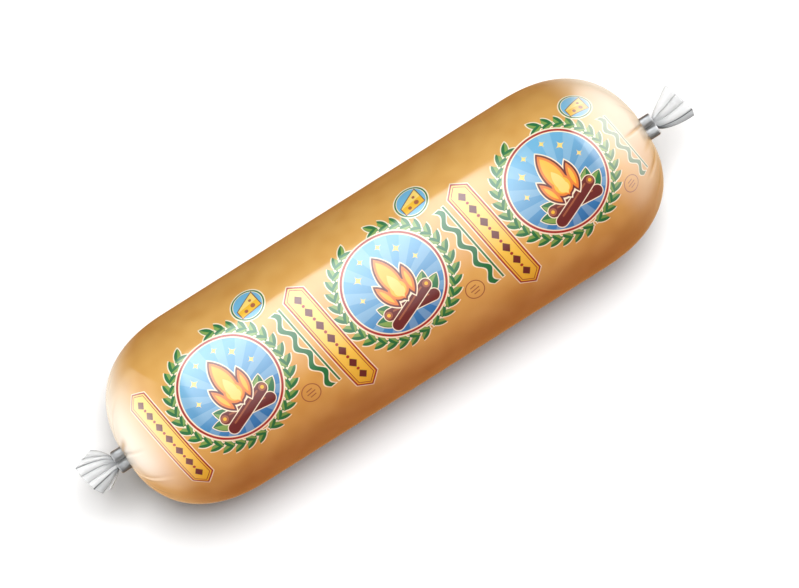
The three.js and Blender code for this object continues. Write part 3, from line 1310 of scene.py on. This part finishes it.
@dataclass(frozen=True)
class CheeseRoll:
    """The roll itself: cheese in tight film, with folds that run in to both clips."""

    sizes: RollSizes
    along: int = 241
    around: int = 361
    straight_part: float = 0.2
    lip_part: float = 0.93
    fine_folds: float = 37.0
    fine_fold_depth: float = 0.16
    fine_fold_reach: float = 15.0
    long_pleat_angle: float = math.radians(35.5)
    long_pleat_half: float = math.radians(4.0)
    long_pleat_reach: float = 33.0
    long_pleat_depth: float = 0.5
    # Strength of the shade painted where the long pleat sinks
    long_pleat_painted_shade: float = 0.5
    long_pleat_near: float = 14.0
    long_pleat_fade_from: float = 0.75
    long_pleat_slopes: tuple[float, float] = (2.0, 0.7)
    long_pleat_waver: float = 0.02
    waver_rate: float = 0.25
    arc_power: float = 1.5
    merge_gap: float = 1e-6

    def inputs(self) -> dict[str, float]:
        """Names the inputs of the shape rule.

        Returns:
            Value of each input.
        """
        sizes = self.sizes
        return {
            "Radius": sizes.radius,
            "Straight": sizes.straight_half,
            "End Depth": sizes.end_depth,
            "Fullness": sizes.fullness,
            "Lip Angle": math.asin(sizes.lip_share ** (sizes.fullness / 2)),
            "Lip Radius": sizes.lip_radius,
            "Floor Radius": sizes.floor_radius,
            "Floor Depth": sizes.floor_depth,
            "Gather Offset": sizes.gather_offset,
            "Axis Height": sizes.axis_height,
        }

    def rule(self) -> ShapeRule:
        """Builds the tree that bends a grid into the roll.

        Returns:
            The tree, ready to run.
        """
        fullness = self.sizes.fullness
        rule = ShapeRule("roll_shape", list(self.inputs()))
        along, around = rule.sheet(self.along, self.around)
        side = (along - 0.5).math("SIGN")
        outward = abs(along * 2.0 - 1.0)
        angle = (around - 0.5) * TURN
        straight = outward.ramp(0.0, self.straight_part) * rule.size("Straight")
        end = outward.ramp(self.straight_part, self.lip_part)
        inward = outward.ramp(self.lip_part, 1.0)
        share = (end * rule.size("Lip Angle")).sin() ** (2 / fullness)
        fuller = (1.0 - share ** rule.size("Fullness")) ** (1 / fullness)
        radius = fuller * rule.size("Radius") - rule.size("Lip Radius") * inward
        rim = radius.smooth(rule.size("Floor Radius"), rule.size("Lip Radius"))
        deep = share * rule.size("End Depth")
        power = self.arc_power
        arc = straight + (deep**power + (rule.size("Radius") - radius) ** power) ** (1 / power)
        depth, crease_shade = self.folds(rule, radius, angle, side, rim)
        distance = hypot(deep, radius)
        sunk_radius = radius - radius * depth / distance
        sunk_x = straight + deep - deep * depth / distance - (1.0 - rim) * rule.size("Floor Depth")
        gathered = radius.smooth(rule.size("Radius"), rule.size("Lip Radius"))
        y = sunk_radius * angle.sin() * -1.0 - gathered * rule.size("Gather Offset")
        z = (sunk_radius * angle.cos()).most(rule.size("Axis Height") * -1.0) + rule.size("Axis Height")
        rule.corner_map(FILM_MAP, arc * side, angle * rule.size("Radius"))
        rule.corner_map(BAKE_MAP, along, around)
        # Stores the mask of the shade painted along the folds
        rule.point_mask(CREASE_SHADE_MASK, crease_shade)
        place = rule.vector(side * sunk_x * MM, y * MM, z * MM)
        rule.step("GeometryNodeSetPosition", {"Position": place})
        rule.step("GeometryNodeMergeByDistance", {"Distance": self.merge_gap})
        rule.step("GeometryNodeFlipFaces", {})
        rule.step("GeometryNodeSetShadeSmooth", {})
        rule.close()
        return rule

    def folds(
        self, rule: ShapeRule, radius: Field, angle: Field, side: Field, rim: Field
    ) -> tuple[Field, Field]:
        """Works out how far the folds sink the film, and where shade is painted along them.

        Args:
            rule: Tree that the fields belong to.
            radius: Distance from the roll's axis.
            angle: Angle round the axis, from the top towards -Y.
            side: 1 at the +X end and -1 at the other.
            rim: 1 from the lip outwards, falling to 0 on the floor inside it.

        Returns:
            Depth of the folds, and a mask of the shade painted along them.
        """
        left = (1.0 - side) * 0.5
        right = 1.0 - left
        fine_fade = radius.smooth(self.fine_fold_reach, rule.size("Lip Radius")) * rim
        fine_bulge = abs((angle * (self.fine_folds / 2) + left).sin())
        depth = (1.0 - fine_bulge) * fine_fade * self.fine_fold_depth
        waver = (radius * self.waver_rate).sin() * self.long_pleat_waver
        swing = (angle - self.long_pleat_angle + waver) / self.long_pleat_half
        steep, gentle = ((swing * slope).smooth(1.0, -1.0) for slope in self.long_pleat_slopes)
        outer_fade = radius.smooth(self.long_pleat_reach, self.long_pleat_reach * self.long_pleat_fade_from)
        inner_fade = radius.smooth(rule.size("Lip Radius"), self.long_pleat_near)
        pleat = (steep - gentle) * outer_fade * inner_fade * left
        depth = depth + pleat * self.long_pleat_depth
        # Shade is painted where the long pleat sinks, and along each fold
        tint = pleat.most(0.0) * self.long_pleat_painted_shade
        for folds, here in ((RIGHT_FOLDS, right), (LEFT_FOLDS, left)):
            for fold in folds:
                sunk, tinted = fold.sink(radius, angle)
                depth = depth + sunk * here
                tint = tint.most(tinted * here)
        return depth, tint.unit()

    def build(self, material: bpy.types.Material) -> bpy.types.Object:
        """Makes the roll and puts it in place of its solid.

        Args:
            material: Printed film.

        Returns:
            The roll.
        """
        piece = self.rule().run("printed_film_roll", self.inputs(), material)
        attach(piece, BODY)
        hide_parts("cheese_roll")
        return piece


class End(Enum):
    """The two gathered ends: name of the side and sign of X."""

    RIGHT = ("right", 1.0)
    LEFT = ("left", -1.0)

    @property
    def side(self) -> str:
        """Word in the names of this end's pieces."""
        return self.value[0]

    @property
    def sign(self) -> float:
        """1 at +X and -1 at -X."""
        return self.value[1]


def bulged(part: float, fullness: float) -> float:
    """Stretches a sine or a cosine, so that a circle becomes a fuller curve."""
    return math.copysign(abs(part) ** (2 / fullness), part)


@dataclass(frozen=True)
class WireClip:
    """A wire bent round the gathered film, with its two legs curled in to meet on top."""

    end: End
    leg_height: float = 2.4
    seam: float = 0.34
    hole_radius: float = 2.3
    lobe_fullness: float = 2.3
    rounding: float = 0.75
    rounding_steps: int = 7
    arc_steps: int = 28
    sharp_angle: float = math.radians(50)

    def outline(self, width: float, inset: float) -> list[tuple[float, float]]:
        """Outline across the roll's axis, round the middle of the film.

        Args:
            width: Width over both legs.
            inset: How far the outline stands inside the full one.

        Returns:
            Points as (across, up), once round.
        """
        lobe, lobe_radius = width / 4, width / 4 - inset
        slit, hole = self.seam / 2 + inset, self.hole_radius + inset
        full = self.lobe_fullness
        lobe_seam = math.acos(((lobe - slit) / lobe_radius) ** (full / 2))
        hole_seam = math.acos(slit / hole)
        arcs = [
            ((lobe, self.leg_height), lobe_radius, math.pi - lobe_seam, 0.0, full),
            ((0.0, 0.0), width / 2 - inset, 0.0, -math.pi, 2.0),
            ((-lobe, self.leg_height), lobe_radius, math.pi, lobe_seam, full),
            ((0.0, 0.0), hole, math.pi - hole_seam, TURN + hole_seam, 2.0),
        ]
        points = []
        for (across, up), radius, start, stop, fullness in arcs:
            for step in range(self.arc_steps + 1):
                angle = start + (stop - start) * step / self.arc_steps
                aside = radius * bulged(math.cos(angle), fullness)
                points.append((across + aside, up + radius * bulged(math.sin(angle), fullness)))
        return points

    def sections(self, low: float, high: float) -> list[tuple[float, float]]:
        """Places along the roll at which the outline is drawn, with rounded ends.

        Args:
            low: Lower end in metres.
            high: Upper end in metres.

        Returns:
            Pairs of place in metres and inset in millimetres.
        """
        steps = []
        for step in range(self.rounding_steps + 1):
            angle = step / self.rounding_steps * math.pi / 2
            steps.append((self.rounding * (1 - math.cos(angle)), self.rounding * (1 - math.sin(angle))))
        first = [(low + deep * MM, inset) for deep, inset in steps]
        last = [(high - deep * MM, inset) for deep, inset in reversed(steps)]
        return first + last

    def build(self, material: bpy.types.Material) -> bpy.types.Object:
        """Makes the clip and puts it in place of its solid.

        Args:
            material: Clip wire.

        Returns:
            The clip.
        """
        node = f"clip_{self.end.side}"
        low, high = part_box(node)
        width = (high.y - low.y) / MM
        middle_y = (low.y + high.y) / 2
        axis_z = low.z + width / 2 * MM
        bm = bmesh.new()
        rings = []
        for x, inset in self.sections(low.x, high.x):
            points = self.outline(width, inset)
            rings.append([bm.verts.new((x, middle_y + y * MM, axis_z + z * MM)) for y, z in points])
        for ring, after in zip(rings, rings[1:]):
            for index in range(len(ring)):
                bm.faces.new((ring[index - 1], ring[index], after[index], after[index - 1]))
        bm.faces.new(rings[0])
        bm.faces.new(rings[-1])
        bmesh.ops.recalc_face_normals(bm, faces=bm.faces)
        mesh = bpy.data.meshes.new(f"wire_clip_{self.end.side}")
        bm.to_mesh(mesh)
        bm.free()
        mesh.shade_smooth()
        mesh.set_sharp_from_angle(angle=self.sharp_angle)
        mesh.materials.append(material)
        piece = bpy.data.objects.new(mesh.name, mesh)
        bpy.context.scene.collection.objects.link(piece)
        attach(piece, BODY)
        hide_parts(node)
        return piece


@dataclass(frozen=True)
class Pleat:
    """One flat pleat of a fan, between two lines that run from the rope to the film's end.

    Throats are angles on the rope in degrees, from its top towards +Y. Corners are millimetres: out from
    the roll's middle, and towards +Y. Lines and shades are shares of the grey of painted shade: along the
    pleat's edges and end, over the whole pleat, and near the rope.
    """

    throat: tuple[float, float]
    first: tuple[float, float]
    second: tuple[float, float]
    lines: tuple[float, float] = (0.2, 0.2)
    end_shade: float = 0.15
    shade: float = 0.05
    throat_shade: float = 0.3
    lift: float = 0.5
    crown: float = 0.7

    def inputs(self) -> dict[str, float]:
        """Names the inputs of the pleat's rule.

        Returns:
            Value of each input.
        """
        return {
            "Throat From": math.radians(self.throat[0]),
            "Throat To": math.radians(self.throat[1]),
            "First X": self.first[0],
            "First Y": self.first[1],
            "Second X": self.second[0],
            "Second Y": self.second[1],
            "First Edge Shade": self.lines[0],
            "Second Edge Shade": self.lines[1],
            "End Shade": self.end_shade,
            "Shade": self.shade,
            "Throat Shade": self.throat_shade,
            "Lift": self.lift,
            "Crown": self.crown,
        }


# Pleats of both fans; their lines and shades are painted shade along edges, over pleats and near the rope
RIGHT_PLEATS = (
    Pleat(
        (82, 45), (132.4, 9.3), (133.8, 4.1), lines=(0.3, 0.3), end_shade=0.2, shade=0.0, throat_shade=0.05
    ),
    Pleat((45, 10), (133.8, 4.1), (135.2, 0.1), lines=(0.3, 0.2), shade=0.16, throat_shade=0.4),
    Pleat((10, -40), (135.2, 0.1), (136.2, -4.2), lines=(0.3, 1.0), shade=0.04, throat_shade=0.45),
    Pleat((-40, -95), (136.2, -4.2), (135.6, -6.5), lines=(1.0, 1.0), shade=0.6, crown=0.3),
    Pleat((82, 150), (131.8, 8.0), (133.4, 2.6), shade=0.0, throat_shade=0.1, lift=-0.9, crown=-0.5),
    Pleat((150, 205), (133.4, 2.6), (134.8, -2.4), shade=0.05, throat_shade=0.2, lift=-0.9, crown=-0.5),
    Pleat((205, 265), (134.8, -2.4), (135.0, -6.0), shade=0.05, throat_shade=0.2, lift=-0.9, crown=-0.5),
)
LEFT_PLEATS = (
    Pleat((100, 72), (126.8, 8.3), (131.6, 6.9), lines=(0.45, 0.2), shade=0.25, throat_shade=0.25),
    Pleat((72, 50), (131.6, 6.9), (135.4, 5.4), lines=(0.2, 0.8), shade=0.0, throat_shade=0.15),
    Pleat((50, 15), (135.4, 5.4), (135.3, 1.6), lines=(0.8, 0.5), shade=0.02, throat_shade=0.6),
    Pleat((15, -20), (135.3, 1.6), (134.2, -2.0), lines=(0.5, 0.4), shade=0.14, throat_shade=0.6),
    Pleat((-20, -50), (134.2, -2.0), (133.7, -5.0), lines=(0.2, 1.0), shade=0.0, throat_shade=0.1),
    Pleat((-50, -85), (133.7, -5.0), (131.6, -8.2), lines=(1.0, 0.6), shade=0.42),
    Pleat((-85, -100), (129.4, -8.0), (127.8, -8.5), lines=(0.3, 0.5), end_shade=0.4, shade=0.25),
    Pleat((100, 150), (131.6, 7.4), (134.0, 2.6), shade=0.02, throat_shade=0.1, lift=-0.9, crown=-0.5),
    Pleat((150, 210), (134.0, 2.6), (133.4, -2.6), shade=0.05, throat_shade=0.2, lift=-0.9, crown=-0.5),
    Pleat((210, 260), (133.4, -2.6), (131.0, -7.4), shade=0.05, throat_shade=0.2, lift=-0.9, crown=-0.5),
)


@dataclass(frozen=True)
class FilmTail:
    """The gathered film that passes through a clip and fans out into flat pleats."""

    end: End
    pleats: tuple[Pleat, ...]
    bend: float
    rows: int = 37
    columns: int = 17
    rope_part: float = 0.17
    rope_length: float = 5.5
    rope_radius: float = 2.0
    spread_power: float = 0.62
    flat_from: float = 0.35
    # Widths of the painted shade along a pleat's edges and end, and the part near the rope that it darkens
    edge_shade_share: float = 0.18
    end_line_share: float = 0.05
    throat_part: float = 0.5
    wall: float = 0.1

    def pleat_rule(self, labels: list[str]) -> ShapeRule:
        """Builds the tree that bends a grid into one pleat.

        Args:
            labels: Names of the inputs.

        Returns:
            The tree, for use in a fan's tree.
        """
        rule = ShapeRule("film_pleat", labels)
        along, across = rule.sheet(self.rows, self.columns)
        rope = along.ramp(0.0, self.rope_part)
        share = along.ramp(self.rope_part, 1.0)

        def between(first: str, second: str) -> Field:
            """Runs from one named input to another across the pleat."""
            return (rule.size(second) - rule.size(first)) * across + rule.size(first)

        angle = between("Throat From", "Throat To")
        rope_y = angle.sin() * rule.size("Rope Radius") + rule.size("Axis Y")
        rope_z = angle.cos() * rule.size("Rope Radius")
        clip_x = rule.size("Rope Start") + rope * rule.size("Rope Length")
        x = (between("First X", "Second X") - clip_x) * share + clip_x
        widening = between("First Y", "Second Y") - rope_y - rule.size("Bend")
        y = widening * share ** rule.size("Spread Power") + rule.size("Bend") * share * share + rope_y
        arch = 1.0 - (across * 2.0 - 1.0) ** 2.0
        flat_z = arch * rule.size("Crown") + rule.size("Lift")
        z = (flat_z - rope_z) * share.smooth(0.0, self.flat_from) + rope_z
        place = rule.vector(x * rule.size("Side") * MM, y * MM, (z + rule.size("Axis Z")) * MM)
        # Painted shade along the pleat's edges and end, near the rope and over the whole pleat
        first_edge_shade = across.smooth(self.edge_shade_share, 0.0) * rule.size("First Edge Shade")
        second_edge_shade = across.smooth(1 - self.edge_shade_share, 1.0) * rule.size("Second Edge Shade")
        end_shade = share.smooth(1 - self.end_line_share, 1.0) * rule.size("End Shade")
        dim = share.smooth(self.throat_part, 0.0) * rule.size("Throat Shade") + rule.size("Shade")
        rule.point_mask(CREASE_SHADE_MASK, first_edge_shade.most(second_edge_shade).most(end_shade).most(dim).unit())
        rule.step("GeometryNodeSetPosition", {"Position": place})
        rule.close()
        return rule

    def build(self, material: bpy.types.Material) -> bpy.types.Object:
        """Makes the tail and puts it in place of its solid.

        Args:
            material: Clear film.

        Returns:
            The tail.
        """
        node = f"film_tail_{self.end.side}"
        low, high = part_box(node)
        clip_low, clip_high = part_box(f"clip_{self.end.side}")
        sizes = {
            "Rope Start": min(abs(low.x), abs(high.x)) / MM,
            "Rope Length": self.rope_length,
            "Rope Radius": self.rope_radius,
            "Axis Y": (clip_low.y + clip_high.y) / 2 / MM,
            "Axis Z": (low.z + high.z) / 2 / MM,
            "Spread Power": self.spread_power,
            "Bend": self.bend,
            "Side": self.end.sign,
        }
        copies = [pleat.inputs() for pleat in self.pleats]
        fan = ShapeRule("film_fan", list(sizes))
        fan.gather(self.pleat_rule([*sizes, *copies[0]]), copies)
        fan.close()
        piece = fan.run(f"clear_film_tail_{self.end.side}", sizes, material)
        piece.data.shade_smooth()
        thick = piece.modifiers.new("wall", "SOLIDIFY")
        thick.thickness = self.wall * MM
        thick.offset = 0.0
        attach(piece, BODY)
        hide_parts(node)
        return piece


TAILS = (
    FilmTail(End.RIGHT, RIGHT_PLEATS, bend=2.0),
    FilmTail(End.LEFT, LEFT_PLEATS, bend=-0.8),
)


class SoftBox:
    """A rectangular light whose face can be brighter in some places than in others."""

    def __init__(self, name: str, size: tuple[float, float], radiance: float) -> None:
        """Adds the box at the origin, pointing down and unseen by the camera.

        Args:
            name: Name of the light.
            size: Length and width in metres.
            radiance: Brightness of its face.
        """
        self.data = bpy.data.lights.new(name, "AREA")
        self.data.shape = "RECTANGLE"
        self.data.size, self.data.size_y = size
        self.data.energy = radiance * math.pi * size[0] * size[1]
        self.light = bpy.data.objects.new(name, self.data)
        self.light.visible_camera = False
        bpy.context.scene.collection.objects.link(self.light)

    def face(self) -> Spot:
        """Gives the box a shader and reads the place on its face.

        Returns:
            The place, in metres of the scene.
        """
        self.data.use_nodes = True
        tree = self.data.node_tree
        return Spot(tree, tree.nodes.new("ShaderNodeNewGeometry").outputs["Position"])

    def glow(self, share: Field) -> None:
        """Sets how bright each place of the face is.

        Args:
            share: Share of the full brightness.
        """
        share.tree.links.new(share.socket, share.tree.nodes["Emission"].inputs["Strength"])

    def hang(self, angle: float, distance: float, sizes: RollSizes) -> None:
        """Hangs the box round the roll's axis and points it there.

        Args:
            angle: Turn from straight above towards +Y.
            distance: Distance from the axis in metres.
            sizes: Sizes of the roll.
        """
        up = distance * math.cos(angle) + sizes.axis_height * MM
        self.light.location = (0.0, distance * math.sin(angle), up)
        self.light.rotation_euler = (-angle, 0.0, 0.0)


def reach_only(light: bpy.types.Object, lit: list[bpy.types.Object]) -> None:
    """Lets a light reach some objects alone.

    Args:
        light: The light.
        lit: Objects that it reaches.
    """
    reached = bpy.data.collections.new(f"lit_by_{light.name}")
    for piece in lit:
        reached.objects.link(piece)
    light.light_linking.receiver_collection = reached


@dataclass(frozen=True)
class RoundLight:
    """A broad box hung round the roll's axis, which shades matt surfaces and isn't mirrored."""

    name: str
    angle: float
    distance: float
    size: tuple[float, float]
    radiance: float
    colour: tuple[float, float, float] = (1.0, 1.0, 1.0)

    def build(self, sizes: RollSizes) -> bpy.types.Object:
        """Hangs the box.

        Args:
            sizes: Sizes of the roll.

        Returns:
            The light.
        """
        box = SoftBox(self.name, self.size, self.radiance)
        box.data.color = self.colour
        box.light.visible_glossy = False
        box.hang(math.radians(self.angle), self.distance, sizes)
        return box.light


@dataclass(frozen=True)
class TopBox:
    """A long box above the roll, which is mirrored only and dims from its +Y side to its -Y side.

    Fades along the roll are metres, and those across it are shares of the height: each runs from where the
    box is dark to where it is bright.
    """

    name: str
    radiance: float
    left_fade: tuple[float, float]
    right_fade: tuple[float, float]
    height: float = 0.55
    front_fade: tuple[float, float] = (-0.745, 0.925)
    back_fade: tuple[float, float] = (2.3, 1.56)
    colour: tuple[float, float, float] = (0.92, 0.97, 1.0)

    def build(self, sizes: RollSizes) -> bpy.types.Object:
        """Hangs the box.

        Args:
            sizes: Sizes of the roll.

        Returns:
            The light.
        """
        left, right = self.left_fade[0], self.right_fade[0]
        front, back = self.front_fade[0] * self.height, self.back_fade[0] * self.height
        box = SoftBox(self.name, (right - left, back - front), self.radiance)
        box.data.color = self.colour
        box.light.visible_diffuse = False
        box.light.location = ((left + right) / 2, (front + back) / 2, self.height + sizes.axis_height * MM)
        spot = box.face()
        across = spot.y / self.height
        along = spot.x.smooth(*self.left_fade) * spot.x.smooth(*self.right_fade)
        box.glow(across.ramp(*self.front_fade) * across.smooth(*self.back_fade) * along)
        return box.light


@dataclass(frozen=True)
class SideBox:
    """A soft box that stands beyond an end of the roll and fades towards its edges.

    Sizes are metres. Each fade runs from where the box is dark to where it is bright. The spread is the
    angle of its beam in degrees.
    """

    name: str
    distance: float
    radiance: float
    lower_fade: tuple[float, float]
    upper_fade: tuple[float, float]
    front_fade: tuple[float, float]
    back_fade: tuple[float, float]
    back_share: float = 0.0
    spread: float = 180.0
    lights_matt: bool = True
    is_mirrored: bool = True

    def build(self) -> bpy.types.Object:
        """Stands the box in place.

        Returns:
            The light.
        """
        low, high = self.lower_fade[0], self.upper_fade[0]
        front, back = self.front_fade[0], self.back_fade[0]
        box = SoftBox(self.name, (high - low, back - front), self.radiance)
        box.light.location = (self.distance, (front + back) / 2, (low + high) / 2)
        box.light.rotation_euler = (0.0, math.copysign(math.pi / 2, self.distance), 0.0)
        box.data.spread = math.radians(self.spread)
        box.light.visible_diffuse = self.lights_matt
        box.light.visible_glossy = self.is_mirrored
        spot = box.face()
        upward = spot.z.smooth(*self.lower_fade) * spot.z.smooth(*self.upper_fade)
        back_part = spot.y.smooth(*self.back_fade) * (1 - self.back_share) + self.back_share
        box.glow(upward * spot.y.smooth(*self.front_fade) * back_part)
        return box.light


@dataclass(frozen=True)
class FloorWash:
    """A wide soft sun that lights the floor alone, so that it is even far out under a soft shadow.

    Angles are degrees: the tilt from straight above, and the turn of the shadow from -Y towards -X.
    """

    strength: float = 4.3
    softness: float = 36.0
    tilt: float = 16.0
    turn: float = 40.0

    def build(self, floor: bpy.types.Object) -> bpy.types.Object:
        """Hangs the sun.

        Args:
            floor: The floor.

        Returns:
            The light.
        """
        data = bpy.data.lights.new("floor_wash", "SUN")
        data.energy = self.strength
        data.angle = math.radians(self.softness)
        wash = bpy.data.objects.new("floor_wash", data)
        wash.rotation_euler = (-math.radians(self.tilt), 0.0, -math.radians(self.turn))
        bpy.context.scene.collection.objects.link(wash)
        reach_only(wash, [floor])
        return wash


@dataclass(frozen=True)
class Surroundings:
    """What lies beyond the lights: white to the camera, and warm below the roll, where the film mirrors it.

    Fades are shares of a direction: each runs from where a colour is absent to where it is full.
    """

    dim: tuple[float, float, float] = (0.05, 0.05, 0.05)
    below: tuple[float, float, float] = (0.5, 0.22, 0.06)
    below_ends: tuple[float, float, float] = (0.7, 0.42, 0.2)
    below_ends_back: tuple[float, float, float] = (1.15, 1.05, 0.9)
    to_camera: tuple[float, float, float] = (0.95, 0.95, 0.95)
    below_fade: tuple[float, float] = (-0.2, -0.9)
    ends_fade: tuple[float, float] = (0.2, 0.6)
    back_fade: tuple[float, float] = (-0.2, 0.2)

    def build(self) -> bpy.types.World:
        """Makes the world.

        Returns:
            The world, set for the scene.
        """
        world = bpy.data.worlds.new("surroundings")
        bpy.context.scene.world = world
        world.use_nodes = True
        tree = world.node_tree
        paths = tree.nodes.new("ShaderNodeLightPath")
        way = Spot(tree, tree.nodes.new("ShaderNodeTexCoord").outputs["Generated"])
        below = Field(tree, paths.outputs["Is Glossy Ray"]) * way.z.smooth(*self.below_fade)
        ends = (abs(way.x) / (abs(way.x) + abs(way.y) + TINY)).smooth(*self.ends_fade)
        colour = mixed(below, (*self.dim, 1.0), (*self.below, 1.0))
        colour = mixed(below * ends, colour, (*self.below_ends, 1.0))
        colour = mixed(below * ends * way.y.smooth(*self.back_fade), colour, (*self.below_ends_back, 1.0))
        seen = Field(tree, paths.outputs["Is Camera Ray"])
        colour = mixed(seen, colour, (*self.to_camera, 1.0))
        tree.links.new(colour, tree.nodes["Background"].inputs["Color"])
        return world


EMBER_GLOW = (1.0, 0.12, 0.02)
KEY_BOX = RoundLight("key_box", angle=14.0, distance=0.3, size=(1.0, 0.2), radiance=3.1)
TAIL_FILL = RoundLight("tail_fill", angle=0.0, distance=0.6, size=(0.6, 0.4), radiance=1.8)
WARM_FILLS = (
    RoundLight("warm_fill", angle=-60.0, distance=0.6, size=(0.5, 0.3), radiance=2.0, colour=EMBER_GLOW),
    RoundLight("warm_edge", angle=85.0, distance=0.6, size=(0.5, 0.3), radiance=0.7, colour=EMBER_GLOW),
)
FILM_BOX = TopBox("film_box", radiance=3.9, left_fade=(-0.23, -0.15), right_fade=(0.105, 0.07))
WIRE_BOX = TopBox("wire_box", radiance=5.0, left_fade=(-0.24, 0.0), right_fade=(0.3, 0.09))
SIDE_BOXES = (
    SideBox(
        "side_box_left",
        distance=-0.5,
        radiance=1.6,
        lower_fade=(-0.4, 0.0),
        upper_fade=(0.75, 0.25),
        front_fade=(-0.75, 0.0),
        back_fade=(0.75, 0.1),
        back_share=0.5,
        lights_matt=False,
    ),
    SideBox(
        "side_box_right",
        distance=0.5,
        radiance=1.1,
        lower_fade=(-0.4, 0.0),
        upper_fade=(0.8, 0.3),
        front_fade=(-0.9, -0.3),
        back_fade=(0.4, -0.2),
        back_share=0.25,
        lights_matt=False,
    ),
    SideBox(
        "streak_box",
        distance=0.53,
        radiance=2.7,
        lower_fade=(-0.7, 0.15),
        upper_fade=(0.78, 0.6),
        front_fade=(-0.4, 0.3),
        back_fade=(0.68, 0.48),
        lights_matt=False,
    ),
    SideBox(
        "end_fill_left",
        distance=-0.35,
        radiance=0.86,
        lower_fade=(-0.05, 0.03),
        upper_fade=(0.3, 0.12),
        front_fade=(-0.15, -0.02),
        back_fade=(0.3, 0.12),
        spread=90.0,
        is_mirrored=False,
    ),
    SideBox(
        "end_fill_right",
        distance=0.35,
        radiance=0.58,
        lower_fade=(-0.05, 0.03),
        upper_fade=(0.3, 0.12),
        front_fade=(-0.55, -0.25),
        back_fade=(0.35, 0.15),
        spread=120.0,
        is_mirrored=False,
    ),
)


@dataclass(frozen=True)
class Studio:
    """Pale floor, soft lights and a camera that looks straight down on the roll."""

    photo_width: float = 799.0
    photo_height: float = 588.0
    roll_centre_px: tuple[float, float] = (383.9, 290.8)
    roll_radius_px: float = 98.5
    roll_angle: float = math.radians(32.25)
    camera_distance: float = 2.0
    camera_reach: float = 50.0
    sensor: float = 36.0
    floor_half: float = 6.0
    floor_white: float = 0.9

    def floor(self) -> bpy.types.Object:
        """Lays the floor.

        Returns:
            The floor, marked as stage.
        """
        half = self.floor_half
        mesh = bpy.data.meshes.new("floor")
        corners = [(-half, -half, 0.0), (half, -half, 0.0), (half, half, 0.0), (-half, half, 0.0)]
        mesh.from_pydata(corners, [], [(0, 1, 2, 3)])
        white = (self.floor_white, self.floor_white, self.floor_white, 1.0)
        finish = Finish("floor", Base_Color=white, Roughness=0.9, Specular_IOR_Level=0.0)
        mesh.materials.append(finish.material)
        floor = bpy.data.objects.new("floor", mesh)
        bpy.context.scene.collection.objects.link(floor)
        floor.visible_glossy = False
        floor.visible_diffuse = False
        return floor

    def camera(self, sizes: RollSizes) -> bpy.types.Object:
        """Sets the camera so that the roll fills the frame as in the photograph.

        Args:
            sizes: Sizes of the roll.

        Returns:
            The camera.
        """
        data = bpy.data.cameras.new("camera")
        pixel = sizes.radius * MM / self.roll_radius_px
        data.sensor_width = self.sensor
        data.lens = self.sensor * self.camera_distance / (self.photo_width * pixel)
        data.clip_end = self.camera_reach
        right = (math.cos(-self.roll_angle), math.sin(-self.roll_angle))
        up = (-right[1], right[0])
        shift_right = (self.photo_width / 2 - self.roll_centre_px[0]) * pixel
        shift_up = (self.roll_centre_px[1] - self.photo_height / 2) * pixel
        camera = bpy.data.objects.new("camera", data)
        camera.location = (
            right[0] * shift_right + up[0] * shift_up,
            right[1] * shift_right + up[1] * shift_up,
            sizes.axis_height * MM + self.camera_distance,
        )
        camera.rotation_euler = (0.0, 0.0, -self.roll_angle)
        bpy.context.scene.collection.objects.link(camera)
        bpy.context.scene.camera = camera
        return camera

    def set_up(self, sizes: RollSizes, roll: bpy.types.Object, fittings: list[bpy.types.Object]) -> None:
        """Prepares the whole studio round the finished pieces.

        Args:
            sizes: Sizes of the roll.
            roll: The roll.
            fittings: Clips and tails.
        """
        FloorWash().build(self.floor())
        self.camera(sizes)
        reach_only(KEY_BOX.build(sizes), [roll, *fittings])
        reach_only(TAIL_FILL.build(sizes), fittings)
        for fill in WARM_FILLS:
            reach_only(fill.build(sizes), [roll])
        reach_only(FILM_BOX.build(sizes), [roll])
        reach_only(WIRE_BOX.build(sizes), fittings)
        for box in SIDE_BOXES:
            reach_only(box.build(), [roll, *fittings])
        Surroundings().build()
        bpy.context.scene.view_settings.view_transform = "Standard"


def main() -> None:
    """Builds every piece and then the studio round them.

    Each piece is reported with the number of its faces.
    """
    logging.basicConfig(level=logging.INFO, format="%(name)s: %(message)s")
    sizes = RollSizes.from_frame()
    marks = handling_marks()
    film = PrintedFilm(FilmPrint(sizes.radius)).material(marks)
    wire = ClipWire().material(marks)
    clear = ClearFilm().material(marks)
    roll = CheeseRoll(sizes).build(film)
    fittings = []
    for tail in TAILS:
        fittings.append(WireClip(tail.end).build(wire))
        fittings.append(tail.build(clear))
    for piece in (roll, *fittings):
        LOG.info("%s: %d faces", piece.name, len(piece.data.polygons))
    Studio().set_up(sizes, roll, fittings)
    LOG.info("studio ready")


if __name__ == "__main__":
    main()
